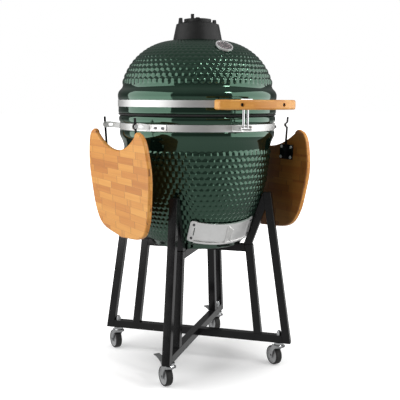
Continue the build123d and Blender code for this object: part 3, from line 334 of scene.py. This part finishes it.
def clear_glass():
    g = Graph("clear_glass")
    smear = g.noise(60.0, detail=4.0)
    return g.surface(Base_Color=(0.96, 0.97, 0.97), Roughness=g.spread(smear, 0.0, 0.06),
                     Transmission_Weight=1.0, IOR=1.45)


# darkest and lightest colour, lowest and highest roughness, and how metallic, of each bright metal
METALS = {
    "vent_steel": ((0.90, 0.90, 0.89), (0.97, 0.97, 0.96), 0.34, 0.46, 1.0),
    "bright_fasteners": ((0.55, 0.55, 0.55), (0.72, 0.72, 0.71), 0.12, 0.22, 1.0),
    "zinc_plate": ((0.5, 0.51, 0.52), (0.68, 0.69, 0.7), 0.16, 0.3, 1.0),
    "spring_steel": ((0.09, 0.09, 0.095), (0.16, 0.16, 0.165), 0.25, 0.4, 1.0),
    "chrome_latch": ((0.72, 0.72, 0.73), (0.82, 0.82, 0.83), 0.06, 0.12, 1.0),
    "steel_grid": ((0.4, 0.4, 0.4), (0.58, 0.58, 0.57), 0.2, 0.36, 1.0),
    "zinc_screws": ((0.80, 0.80, 0.80), (0.92, 0.92, 0.92), 0.2, 0.3, 0.3),
    "polished_rim": ((0.80, 0.80, 0.80), (0.92, 0.92, 0.92), 0.12, 0.2, 0.6),
    "blackened_steel": ((0.010, 0.010, 0.010), (0.03, 0.03, 0.03), 0.3, 0.45, 1.0),
    "caster_zinc": ((0.36, 0.365, 0.37), (0.5, 0.505, 0.51), 0.16, 0.3, 1.0),
}


def make_materials():
    """One material for every slot of the record, and a few for single nodes."""
    made = {
        "green_glaze": glaze(),
        "black_powder_coat": powder_coat(),
        "grey_felt": felt(),
        "band_steel": band_steel(),
        "fire_clay": fire_clay(),
        "cast_iron_grate": cast_iron("cast_iron_grate", 0.02),
        "black_cast_iron": cast_iron("black_cast_iron", 0.006),
        "bamboo_handle": bamboo("bamboo_handle", 0, 2, 1, 0.0095, straight=True),
        "bamboo_shelf": bamboo("bamboo_shelf", 1, 2, 0, 0.0055),
        "dial_face": dial_paint(),
        "needle_paint": needle_paint(),
        "clear_glass": clear_glass(),
        "caster_hub": moulded_plastic(),
        "caster_rubber": rubber(),
    }
    for name, finish in METALS.items():
        made[name] = bright_metal(name, *finish)
    return made


materials = make_materials()
slot_of = {part["node"]: part["material_slot"] for part in frame["record"]["subparts"]}
slot_of.update(lid_bolts="blackened_steel", thermometer_case="polished_rim",
               left_shelf_screws="zinc_screws", right_shelf_screws="zinc_screws",
               base_band_bolts="spring_steel", vent_screws="spring_steel")


def paint_cad_nodes():
    """Give every carried-over node its slot's material."""
    for name, piece in nodes.items():
        for socket in piece.material_slots:
            socket.material = materials[slot_of[name]]


# width in millimetres of the rounding on the carried-over nodes' edges, by the start of their names
EDGE_WIDTHS = {"stand_": 2.2, "shelf_arms": 0.5, "latch_": 0.5, "vent_cap": 1.2, "vent_frame": 0.35,
               "vent_door": 0.35, "damper_disc": 0.9, "handle_grip": 1.2, "handle_brackets": 0.4,
               "hinge_": 0.5, "thermometer_case": 0.8, "caster_fork": 0.5, "caster_wheel": 0.7,
               "brake_pedal": 0.5, "left_shelf_brackets": 0.5, "right_shelf_brackets": 0.5,
               "charcoal_grate": 1.0, "fire_": 2.0}
WELD_GAP = 0.005 * MM       # points closer than this are one
SHARP_EDGE = math.radians(38)


def soften_edges():
    """Round the sharp edges of the carried-over nodes, so that they catch the light."""
    for start, width in EDGE_WIDTHS.items():
        for name in [name for name in nodes if name.startswith(start)]:
            piece = nodes[name]
            piece.data.shade_smooth()
            weld = piece.modifiers.new("weld", "WELD")
            weld.merge_threshold = WELD_GAP
            bevel = piece.modifiers.new("rounding", "BEVEL")
            bevel.width = width * MM
            bevel.segments = 3
            bevel.limit_method = "ANGLE"
            bevel.angle_limit = SHARP_EDGE
            piece.modifiers.new("normals", "WEIGHTED_NORMAL").keep_sharp = True


def new_piece(name, mesh, body, stands_for=(), slot=None):
    """A finished mesh as a piece that rides on a body and replaces the CAD nodes it stands for."""
    slot = slot or slot_of[stands_for[0]]
    mesh.materials.append(materials[slot])
    piece = bpy.data.objects.new(name, mesh)
    bpy.context.scene.collection.objects.link(piece)
    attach(piece, body)
    if stands_for:
        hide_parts(*stands_for)
    return piece


def face_outward(mesh):
    """Turn every face of a closed mesh outward."""
    work = bmesh.new()
    work.from_mesh(mesh)
    bmesh.ops.recalc_face_normals(work, faces=work.faces)
    work.to_mesh(mesh)
    work.free()


def mesh_from(name, points, faces):
    """A smooth-shaded mesh."""
    mesh = bpy.data.meshes.new(name)
    mesh.from_pydata([tuple(p) for p in points], [], faces)
    mesh.polygons.foreach_set("use_smooth", [True] * len(faces))
    mesh.update()
    return mesh


# ---------------------------------------------------------------- curves
def smooth_line(points, step):
    """Points evenly spaced along a Catmull-Rom curve through the given points."""
    points = [np.array(p, float) for p in points]
    ends = [2 * points[0] - points[1], *points, 2 * points[-1] - points[-2]]
    made = []
    for before, start, end, after in zip(ends, ends[1:], ends[2:], ends[3:]):
        count = max(1, round(np.linalg.norm(end - start) / step))
        for index in range(count):
            t = index / count
            bend = 2 * before - 5 * start + 4 * end - after
            twist = 3 * start - before - 3 * end + after
            made.append(0.5 * (2 * start + (end - before) * t + bend * t**2 + twist * t**3))
    made.append(points[-1])
    return made


# ---------------------------------------------------------------- ceramic shells
BUMPS_ROUND = 72        # bumps in one row
CUTS_PER_BUMP = 8
COLUMNS = BUMPS_ROUND * CUTS_PER_BUMP
ROW_PITCH = 0.92        # distance between rows over distance between bumps
BUMP_RISE = 0.20        # height of a bump over the distance between bumps
VALLEY = -1 / 3         # lowest value of a bump's dome shape, where three neighbours meet
FIRST_ROW = -0.6        # row number at an outline's start, so that the first crest is just past it
ROW_REACH = 0.56        # how far a bump reaches up and down, in rows


def bump_rows(outline):
    """Row numbers along an outline, whose bumps shrink with its radius."""
    rows = [FIRST_ROW]
    travelled = 0.0
    for before, here in zip(outline, outline[1:]):
        pitch = ROW_PITCH * 2 * math.pi * (here[0] + before[0]) / 2 / BUMPS_ROUND
        travelled += math.dist(here, before) / pitch
        rows.append(travelled + FIRST_ROW)
    return rows


def crest(row, columns, last_row):
    """How far up a bump each of a row's points is, 0 to 1."""
    best = np.zeros(len(columns))
    for near in (math.floor(row), math.floor(row) + 1):
        if near < 0 or near > last_row:
            continue
        across = columns * BUMPS_ROUND - 0.5 * (near % 2)
        across = (across - np.round(across)) / 0.5
        along = (row - near) / ROW_REACH
        swell = np.clip(1 - across**2 - along**2, VALLEY, 1)
        best = np.maximum(best, (swell - VALLEY) / (1 - VALLEY))
    return best


def outline_normals(outline):
    """The outward direction, as (radial, up), at each point of a closed outline."""
    loop = np.array(outline)
    ahead = np.roll(loop, -1, axis=0) - np.roll(loop, 1, axis=0)
    normal = np.stack([ahead[:, 1], -ahead[:, 0]], axis=1)
    return normal / np.maximum(np.linalg.norm(normal, axis=1, keepdims=True), 1e-9)


def dimpled_rings(outline, rows):
    """The points of a turned wall's rings, pushed out over the bumps, and how far up a bump each is."""
    share = np.arange(COLUMNS) / COLUMNS
    sine, cosine = np.sin(2 * math.pi * share), -np.cos(2 * math.pi * share)
    last_row = math.floor(max(row for row in rows if row is not None) - 0.5)
    points, crests = [], []
    for (r, z), row, (out, lift) in zip(outline, rows, outline_normals(outline)):
        up = np.zeros(COLUMNS) if row is None else crest(row, share, last_row)
        rise = up * BUMP_RISE * 2 * math.pi * r / BUMPS_ROUND
        radius = r + rise * out
        points.append(np.stack([radius * sine, radius * cosine, z + rise * lift], axis=1))
        crests.append(up)
    return np.concatenate(points), np.concatenate(crests)


def wall_faces(count, window, first, last):
    """The quads between a turned wall's rings, without the window's columns where both rings cross it."""
    faces = []
    for i in range(count):
        j = (i + 1) % count
        cut = i in window and j in window
        for c in range(COLUMNS):
            if cut and first <= c < last:
                continue
            d = (c + 1) % COLUMNS
            faces.append((i * COLUMNS + c, i * COLUMNS + d, j * COLUMNS + d, j * COLUMNS + c))
    return faces


def window_faces(outer, inner, first, last):
    """The four sides of a window, from the outer wall's rings to the inner wall's, both going up."""
    faces = []
    for a, b, p, q in zip(outer, outer[1:], inner, inner[1:]):
        faces.append(tuple(ring * COLUMNS + first for ring in (a, b, q, p)))
        faces.append(tuple(ring * COLUMNS + last for ring in (b, a, p, q)))
    corners = (outer[0], inner[0], outer[-1], inner[-1])
    for c in range(first, last):
        low_out, low_in, high_out, high_in = (ring * COLUMNS + c for ring in corners)
        faces.append((low_out + 1, low_out, low_in, low_in + 1))
        faces.append((high_out, high_out + 1, high_in + 1, high_in))
    return faces


def turned_shell(name, outline, rows, hole=None):
    """A closed turned mesh from a loop of (radius, height) points.

    rows holds a bump row number for each point, or None where the surface is plain. hole is
    (first column, last column, low z, high z) of a window through the wall.
    """
    first, last, low, high = hole or (0, 0, 0.0, 0.0)
    window = [i for i, (_, z) in enumerate(outline) if hole and low - 1e-6 <= z <= high + 1e-6]
    faces = wall_faces(len(outline), set(window), first, last)
    if hole:
        outer = [i for i in window if rows[i] is not None]
        inner = [i for i in reversed(window) if rows[i] is None]
        faces += window_faces(outer, inner, first, last)
    points, crests = dimpled_rings(outline, rows)
    mesh = mesh_from(name, points, faces)
    layer = mesh.attributes.new("crest", "FLOAT", "POINT")
    layer.data.foreach_set("value", crests.astype(np.float32))
    return mesh


def in_metres(points):
    """An outline given in millimetres, in metres."""
    return [(r * MM, z * MM) for r, z in points]


DOME = (67.5, 886.5, 178.9)     # radius and height of the dome arc's centre, and its radius
LID_WALL = 22.0
NECK_BLEND = 84.0               # the dimples stop at this radius


def dome_outline(radius, r_from, r_to, step):
    """The dome's arc from one distance from the axis to another."""
    centre_r, centre_z, _ = DOME
    start = math.acos((r_from - centre_r) / radius)
    end = math.acos((r_to - centre_r) / radius)
    count = max(2, round(abs(end - start) * radius / step))
    made = []
    for index in range(count + 1):
        a = start + (end - start) * index / count
        made.append((centre_r + radius * math.cos(a), centre_z + radius * math.sin(a)))
    return made


def make_lid_shell():
    """The domed lid: a flange, the seat of its band, a shoulder, the dimpled dome and the flue's neck."""
    flange = smooth_line([(251.0, 833.3), (254.6, 833.9), (256.7, 836.4), (257.2, 840.0),
                          (257.1, 848.0), (256.9, 855.0)], 2.0)
    seat = [(256.9, z) for z in (862.0, 869.0, 875.0)]
    shoulder = smooth_line([(256.9, 876.0), (257.6, 879.0), (258.6, 885.0), (258.8, 891.0),
                            (257.8, 897.5), (255.0, 903.5), (250.8, 908.5), (246.8, 912.6),
                            (244.2, 917.0), (242.9, 921.0)], 1.6)
    dome = dome_outline(DOME[2], 242.2, 72.0, 2.1)
    neck = [(66.0, 1066.0), (66.0, 1087.0), (65.0, 1088.0),
            (51.0, 1088.0), (50.0, 1087.0), (50.0, 1046.0)]
    vault = dome_outline(DOME[2] - LID_WALL, 52.0, 222.0, 7.0)
    skirt = [(231.0, 890.0), (231.0, 870.0), (231.0, 850.0), (231.0, 834.3), (232.0, 833.3)]
    outside = flange + seat + shoulder
    outline = outside + dome + neck + vault + skirt
    rows = bump_rows(dome)
    top = next(index for index, (r, _) in enumerate(dome) if r < NECK_BLEND)
    marks = [None] * len(outside) + [row if index < top else None for index, row in enumerate(rows)]
    marks += [None] * (len(outline) - len(marks))
    mesh = turned_shell("lid_dome", in_metres(outline), marks)
    new_piece("lid_dome", mesh, "lid", ["lid_shell"])


def every(line, step, marks, keep=None):
    """Points of a fine line about one step apart, with points exactly at the marked heights.

    Between the marks, keep's points are used where it is given, so that two lines match there.
    """
    low, high = marks
    zones = [[p for p in line if p[1] < low], [p for p in line if low <= p[1] <= high],
             [p for p in line if p[1] > high]]
    radius = {z: float(np.interp(z, [p[1] for p in line], [p[0] for p in line])) for z in marks}
    made = []
    for number, zone in enumerate(zones):
        if number == 1 and keep:
            made += [p for p in keep if low + 0.01 < p[1] < high - 0.01]
        else:
            last = None
            for p in zone:
                close_to_mark = min(abs(p[1] - low), abs(p[1] - high)) < 0.4 * step
                if last is None or (math.dist(p, last) >= step and not close_to_mark):
                    made.append(tuple(p))
                    last = p
        if number < 2:
            made.append((radius[marks[number]], marks[number]))
    if math.dist(made[-1], line[-1]) > 0.3 * step:
        made.append(tuple(line[-1]))
    return made


BASE_WALL = 24.0
BASE_FLOOR = 436.0              # the inside wall ends here and the floor begins
FIRST_DIMPLE = 428.0            # the lowest crests are at this height
PORT = (2, 48, 446.0, 491.0)    # first and last column, and low and high edge, of the draft port


def make_base_shell():
    """The pot: a foot, the dimpled belly, a shoulder, the seat of its band and a rim, hollow inside."""
    foot = smooth_line([(2.0, 408.0), (70.0, 408.0), (138.0, 408.0), (145.0, 408.5), (149.6, 411.0)], 8.0)
    foot += smooth_line([(149.6, 411.0), (152.6, 415.5), (157.0, 421.0)], 1.5)[1:]
    belly_line = smooth_line([(157.0, 421.0), (171.5, 440.0), (184.6, 471.0), (195.5, 505.0),
                              (208.6, 543.0), (219.5, 583.0), (226.2, 615.0), (231.0, 648.0),
                              (235.9, 685.0), (239.5, 722.0)], 0.5)
    belly = every(belly_line, 2.2, (PORT[2], PORT[3]))
    shoulder = smooth_line([(239.5, 722.0), (240.8, 731.0), (243.4, 741.0), (247.0, 750.0), (250.6, 757.0),
                            (252.8, 763.0), (253.7, 769.0), (253.6, 776.0), (252.8, 780.6)], 2.2)[1:]
    seat = [(251.0, z) for z in (782.0, 789.0, 796.0, 803.0)]
    rim = smooth_line([(252.4, 804.2), (254.6, 808.0), (255.8, 813.0), (255.9, 818.5), (254.6, 824.0),
                       (251.6, 827.3), (247.5, 828.0)], 1.5)
    inner_rim = [(236.0, 828.0), (229.0, 828.0), (228.0, 827.0), (228.0, 800.0), (228.0, 766.0)]
    wall = reversed(every(belly_line, 14.0, (PORT[2], PORT[3]), keep=belly))
    inside = [(r - BASE_WALL, z) for r, z in wall if z > BASE_FLOOR]
    floor = [(142.0, 433.5), (134.0, 432.0), (70.0, 432.0), (2.0, 432.0)]
    outline = foot + belly[1:] + shoulder + seat + rim + inner_rim + inside + floor
    rows = bump_rows(belly[::-1])[::-1]
    marks = [None] * len(foot) + rows[1:]
    marks += [None] * (len(outline) - len(marks))
    lowest = next(row for (_, z), row in zip(belly, rows) if z > FIRST_DIMPLE)
    marks = [None if row is not None and row > lowest and not PORT[2] <= z <= PORT[3] else row
             for row, (_, z) in zip(marks, outline)]
    mesh = turned_shell("ceramic_base", in_metres(outline), marks,
                        (PORT[0], PORT[1], PORT[2] * MM, PORT[3] * MM))
    new_piece("ceramic_base", mesh, "body", ["base_shell"])


# ---------------------------------------------------------------- shelf boards
CUT_OUT = (156.0, -26.0, -75.0)     # half width and height of the horns' inner corners, and the depth
HORN_TIP = [(156.0, -26.0), (158.2, -20.6), (163.5, -16.8), (169.5, -14.4), (176.0, -14.0)]
OUTER_EDGE = [(176.0, -14.0), (203.0, -26.0), (223.0, -57.0), (238.0, -130.0), (229.0, -202.0),
              (203.0, -287.0), (146.0, -336.0), (0.0, -354.0)]
BOARD_FACES = (6.5, 22.5)       # distance of the board's two faces outward from the pivot's plane
BOARD_ROUND = 5.0
BOARD_LEAN = math.radians(3.7)
ROUND_STEPS = 6                 # cuts across the rounding of an edge
CUT_OUT_STEPS = 40              # points along half of the cut-out's arc


def board_outline():
    """The board seen from outside, in (across, up from the pivot): a closed loop of points."""
    half, corner_up, depth = CUT_OUT
    radius = (half**2 + (corner_up - depth)**2) / (2 * (corner_up - depth))
    reach = math.asin(half / radius)
    cut = []
    for index in range(CUT_OUT_STEPS):
        angle = reach * index / CUT_OUT_STEPS
        cut.append((radius * math.sin(angle), depth + radius * (1 - math.cos(angle))))
    side = cut + [tuple(p) for p in smooth_line(HORN_TIP, 1.5)[:-1] + smooth_line(OUTER_EDGE, 6.0)]
    return side + [(-y, up) for y, up in reversed(side[1:-1])]


def slab(name, outline, inner, outer, rounding):
    """A board between two planes, with rounded edges; points are (out, across, up). It also gives a mark of
    1 for the points at its inner face, which the bamboo darkens as painted shade.
    """
    loop = np.array(outline)
    ahead = np.roll(loop, -1, axis=0) - np.roll(loop, 1, axis=0)
    inward = np.stack([-ahead[:, 1], ahead[:, 0]], axis=1)
    inward /= np.linalg.norm(inward, axis=1, keepdims=True)
    if (inward * (loop.mean(axis=0) - loop)).sum() < 0:
        inward = -inward
    profile = [(rounding + 1.5, 0.0)]
    for index in range(ROUND_STEPS + 1):
        turn = math.pi / 2 * index / ROUND_STEPS
        profile.append((rounding * (1 - math.sin(turn)), rounding * (1 - math.cos(turn))))
    thickness = outer - inner
    profile += [(inset, thickness - depth) for inset, depth in reversed(profile)]
    points, painted_shade_side = [], []
    for inset, depth in profile:
        ring = loop + inward * inset
        points += [(inner + depth, y, z) for y, z in ring]
        # the points at the inner face, toward the body, are marked for painted shade
        painted_shade_side += [1.0 if depth < 0.3 * rounding else 0.0] * len(ring)
    count, last = len(loop), (len(profile) - 1) * len(loop)
    faces = [tuple(range(count)), tuple(range(last + count - 1, last - 1, -1))]
    for layer in range(len(profile) - 1):
        for index in range(count):
            a, b = layer * count + index, layer * count + (index + 1) % count
            faces.append((a, a + count, b + count, b))
    return mesh_from(name, points, faces), painted_shade_side


def make_boards():
    """The two bamboo boards, leaning with their shelf arms at the pivots of the shelves."""
    pivots = {joint["name"]: Vector(joint["pos_m"]) for joint in frame["record"]["behaviour"]["joints"]}
    outline = board_outline()
    for side, sign in (("left", -1), ("right", 1)):
        name = f"{side}_bamboo_board"
        mesh, painted_shade_side = slab(name, outline, *BOARD_FACES, BOARD_ROUND)
        # the mark of the inner face, which the bamboo darkens as painted shade
        layer = mesh.attributes.new("painted_shade_side", "FLOAT", "POINT")
        layer.data.foreach_set("value", painted_shade_side)
        lean = Matrix.Rotation(BOARD_LEAN, 4, "Y")
        mirror = Matrix.Diagonal((sign, 1, 1, 1))
        pivot = Matrix.Translation(pivots[f"{side}_shelf_fold"])
        mesh.transform(pivot @ mirror @ lean @ Matrix.Scale(MM, 4))
        face_outward(mesh)
        new_piece(name, mesh, f"{side}_shelf", [f"{side}_shelf_board"])


# ---------------------------------------------------------------- hinge springs and dial marks
def swept(name, path, radius, sides=10):
    """A round wire along a path, closed at both ends."""
    path = [Vector(point) for point in path]
    points, faces = [], []
    across = None
    for index, place in enumerate(path):
        run = (path[min(index + 1, len(path) - 1)] - path[max(index - 1, 0)]).normalized()
        across = across or run.orthogonal()
        across = (across - run * across.dot(run)).normalized()
        other = run.cross(across)
        for side in range(sides):
            turn = 2 * math.pi * side / sides
            points.append(place + (across * math.cos(turn) + other * math.sin(turn)) * radius)
    for index in range(len(path) - 1):
        for side in range(sides):
            a, b = index * sides + side, index * sides + (side + 1) % sides
            faces.append((a, b, b + sides, a + sides))
    last = (len(path) - 1) * sides
    faces += [tuple(reversed(range(sides))), tuple(range(last, last + sides))]
    return mesh_from(name, points, faces)


COIL_TURNS = 9.5
COIL_STEPS = 24                     # points round one turn
COIL_REACH = (0.0158, 0.0482)       # from the middle of the hinge, along its axis
COIL_RADIUS = 0.0112
WIRE_RADIUS = 0.0017
BASE_LEG = (0.034, 0.004)           # how far in front of the pin the leg to the base begins and ends
LID_LEG = (0.006, 0.036)            # the same for the leg to the lid


def make_springs():
    """Two torsion springs round the hinge pin, each with a leg to the base and a leg to the lid."""
    low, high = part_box("hinge_springs")
    pin_y, pin_z = (low[1] + high[1]) / 2, (low[2] + high[2]) / 2
    start, end = COIL_REACH
    steps = round(COIL_TURNS * COIL_STEPS)
    for name, side in (("left_spring", -1), ("right_spring", 1)):
        path = [(side * start, pin_y - ahead, pin_z - COIL_RADIUS) for ahead in BASE_LEG]
        for index in range(steps + 1):
            turn = 2 * math.pi * index / COIL_STEPS
            along = side * (start + (end - start) * index / steps)
            path.append((along, pin_y + COIL_RADIUS * math.sin(turn), pin_z - COIL_RADIUS * math.cos(turn)))
        path += [(side * end, pin_y - ahead, pin_z + COIL_RADIUS) for ahead in LID_LEG]
        mesh = swept(name, path, WIRE_RADIUS)
        face_outward(mesh)
        new_piece(name, mesh, "body", ["hinge_springs"])


DIAL_DEPTH = 0.001          # from the pointer's pivot down to the dial
DIAL_STROKES = 25
DIAL_SWEEP = 270            # degrees from the first stroke to the last
LONG_EVERY = 3
STROKE_THICKNESS = 0.00012
STROKE_OUTER = 0.86         # outer end of a stroke over the dial's radius
LONG_STROKE = (0.66, 0.0006)        # inner end over the dial's radius, and half width
SHORT_STROKE = (0.76, 0.0003)
BOX_FACES = ((0, 1, 3, 2), (4, 5, 7, 6), (0, 1, 5, 4), (2, 3, 7, 6), (0, 2, 6, 4), (1, 3, 7, 5))


def make_dial_marks():
    """Graduation strokes round the thermometer's dial, with every third one long."""
    joint = next(j for j in frame["record"]["behaviour"]["joints"]
                 if j["name"] == "thermometer_pointer_turn")
    outward = -Vector(joint["axis"])
    across = Vector((1, 0, 0))
    up = outward.cross(across)
    low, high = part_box("thermometer_dial")
    dial_radius = (high[0] - low[0]) / 2
    face = Vector(joint["pos_m"]) - outward * DIAL_DEPTH
    points, faces = [], []
    for index in range(DIAL_STROKES):
        turn = math.radians(DIAL_SWEEP * (index / (DIAL_STROKES - 1) - 0.5))
        run = across * math.sin(turn) + up * math.cos(turn)
        inner, half_width = SHORT_STROKE if index % LONG_EVERY else LONG_STROKE
        wide = run.cross(outward) * half_width
        first = len(points)
        for lift in (0.0, STROKE_THICKNESS):
            for reach in (inner, STROKE_OUTER):
                centre = face + run * dial_radius * reach + outward * lift
                points += [centre - wide, centre + wide]
        faces += [tuple(first + corner for corner in corners) for corners in BOX_FACES]
    mesh = mesh_from("dial_marks", points, faces)
    mesh.polygons.foreach_set("use_smooth", [False] * len(faces))
    face_outward(mesh)
    new_piece("dial_marks", mesh, "lid", slot="needle_paint")


# ---------------------------------------------------------------- stage, light and camera
FLOOR_REACH = 40.0      # half the floor's width


def make_floor():
    """A pale floor that glows more with distance from the object, so that it fades into the backdrop."""
    corners = [(-1, -1), (1, -1), (1, 1), (-1, 1)]
    mesh = mesh_from("floor", [(x * FLOOR_REACH, y * FLOOR_REACH, 0) for x, y in corners], [(0, 1, 2, 3)])
    g = Graph("floor_paper")
    mottle = g.noise(3.0)
    color = g.ramp(mottle, (0.3, (0.86, 0.86, 0.86)), (0.7, (0.88, 0.88, 0.88)))
    away = g.vector("LENGTH", g.place())
    g.put(g.shader.inputs["Emission Color"], color)
    near = g.spread(away, 0.05, 0.70, 0.12, 0.48)
    far = g.spread(away, 0.0, 0.7, 0.48, 1.4)
    glow = g.math("ADD", near, far)
    g.put(g.shader.inputs["Emission Strength"], glow)
    mesh.materials.append(g.surface(Base_Color=color, Roughness=0.9))
    floor = bpy.data.objects.new("floor", mesh)
    floor.visible_diffuse = False
    floor.visible_glossy = False
    bpy.context.scene.collection.objects.link(floor)


def aim(thing, target):
    """Turn a lamp to face a target."""
    thing.rotation_mode = "QUATERNION"
    thing.rotation_quaternion = (Vector(target) - thing.location).to_track_quat("-Z", "Y")


CAMERA_AT = Vector((-1.1506, -2.1145, 0.87505))
BODY_MIDDLE = Vector((0.0, 0.0, 0.70))


def round_the_camera(degrees, distance, height):
    """A place round the body: degrees to the right of the camera's side as it sees the body."""
    base = math.atan2(CAMERA_AT.y, CAMERA_AT.x) + math.radians(degrees)
    return Vector((distance * math.cos(base), distance * math.sin(base), height))


PANEL_POWER_PER_AREA = 6.0      # watts per square metre of a soft box
SPARKLE_POWER = 9.0             # watts of the small lamp that puts points of light on the dimples
SPARKLE_WIDTH = 0.3
SKY_POWER = 0.7                 # strength of the broad light from straight above
SKY_WIDTH = math.radians(100)


def soft_light(name, place, target, width, height, power):
    """A rectangular lamp at a place, facing a target."""
    light = bpy.data.lights.new(name, "AREA")
    light.shape = "RECTANGLE"
    light.size, light.size_y = width, height
    light.energy = power
    thing = bpy.data.objects.new(name, light)
    thing.location = place
    bpy.context.scene.collection.objects.link(thing)
    aim(thing, target)


def soft_box(name, degrees, distance, height, width, tall):
    """A lit panel beside the camera, facing the body."""
    place = round_the_camera(degrees, distance, height)
    soft_light(name, place, Vector((0, 0, height)), width, tall, PANEL_POWER_PER_AREA * width * tall)


def make_lights():
    """Two tall soft boxes at the camera's sides, a small lamp for points of light, and a dim sky."""
    soft_box("left_softbox", -73, 1.8, 1.15, 2.8, 2.3)
    soft_box("right_softbox", 85, 1.8, 1.33, 2.8, 1.94)
    soft_light("sparkle", round_the_camera(48, 1.9, 2.3), BODY_MIDDLE, SPARKLE_WIDTH, SPARKLE_WIDTH,
               SPARKLE_POWER)
    sky = bpy.data.lights.new("overhead", "SUN")
    sky.energy = SKY_POWER
    sky.angle = SKY_WIDTH
    overhead = bpy.data.objects.new("overhead", sky)
    overhead.visible_glossy = False
    bpy.context.scene.collection.objects.link(overhead)


# grey of the room from straight down (0) through the horizon (0.5) to straight up (1)
ROOM_TONES = [(0.0, 0.58), (0.40, 0.52), (0.48, 0.14), (0.56, 0.12), (0.75, 0.25), (1.0, 0.32)]


def room_light(tree):
    """The colour socket of a room that is light below, dim round the horizon and grey above."""
    place = tree.nodes.new("ShaderNodeTexCoord")
    split = tree.nodes.new("ShaderNodeSeparateXYZ")
    half = tree.nodes.new("ShaderNodeMath")
    half.operation = "MULTIPLY_ADD"
    half.inputs[1].default_value = half.inputs[2].default_value = 0.5
    fade = tree.nodes.new("ShaderNodeValToRGB")
    tree.links.new(place.outputs["Generated"], split.inputs["Vector"])
    tree.links.new(split.outputs["Z"], half.inputs[0])
    tree.links.new(half.outputs[0], fade.inputs["Fac"])
    stops = fade.color_ramp.elements
    while len(stops) < len(ROOM_TONES):
        stops.new(0.5)
    for stop, (position, tone) in zip(stops, ROOM_TONES):
        stop.position = position
        stop.color = (tone, tone, tone, 1.0)
    return fade.outputs["Color"]


def make_world():
    """A white studio behind the object; its reflections see the room."""
    world = bpy.data.worlds.new("studio")
    bpy.context.scene.world = world
    world.use_nodes = True
    tree = world.node_tree
    tree.nodes.clear()
    output = tree.nodes.new("ShaderNodeOutputWorld")
    pick = tree.nodes.new("ShaderNodeMixShader")
    room = tree.nodes.new("ShaderNodeBackground")
    white = tree.nodes.new("ShaderNodeBackground")
    ray = tree.nodes.new("ShaderNodeLightPath")
    white.inputs["Color"].default_value = (1.0, 1.0, 1.0, 1.0)
    tree.links.new(room_light(tree), room.inputs["Color"])
    tree.links.new(ray.outputs["Is Camera Ray"], pick.inputs["Fac"])
    tree.links.new(room.outputs[0], pick.inputs[1])
    tree.links.new(white.outputs[0], pick.inputs[2])
    tree.links.new(pick.outputs[0], output.inputs["Surface"])


CAMERA_LENS = 65.45
CAMERA_FORWARD = Vector((0.4774, 0.8682, -0.1355)).normalized()
CAMERA_HEADING = math.radians(-28.80)       # of the camera's right hand, about the vertical
CAMERA_ROLL = math.radians(0.3)


def make_camera():
    """The camera, turned from its forward direction, its heading and a small roll."""
    data = bpy.data.cameras.new("camera")
    data.lens, data.sensor_width = CAMERA_LENS, 36.0
    camera = bpy.data.objects.new("camera", data)
    level = Vector((math.cos(CAMERA_HEADING), math.sin(CAMERA_HEADING), 0))
    right = (level - CAMERA_FORWARD * level.dot(CAMERA_FORWARD)).normalized()
    up = right.cross(CAMERA_FORWARD)
    side = right * math.cos(CAMERA_ROLL) + up * math.sin(CAMERA_ROLL)
    top = up * math.cos(CAMERA_ROLL) - right * math.sin(CAMERA_ROLL)
    turn = Matrix((side, top, -CAMERA_FORWARD)).transposed()
    camera.matrix_world = Matrix.Translation(CAMERA_AT) @ turn.to_4x4()
    bpy.context.scene.collection.objects.link(camera)
    bpy.context.scene.camera = camera


bpy.context.scene.view_settings.view_transform = "Standard"
paint_cad_nodes()
soften_edges()
make_lid_shell()
make_base_shell()
make_boards()
make_springs()
make_dial_marks()
make_floor()
make_lights()
make_world()
make_camera()
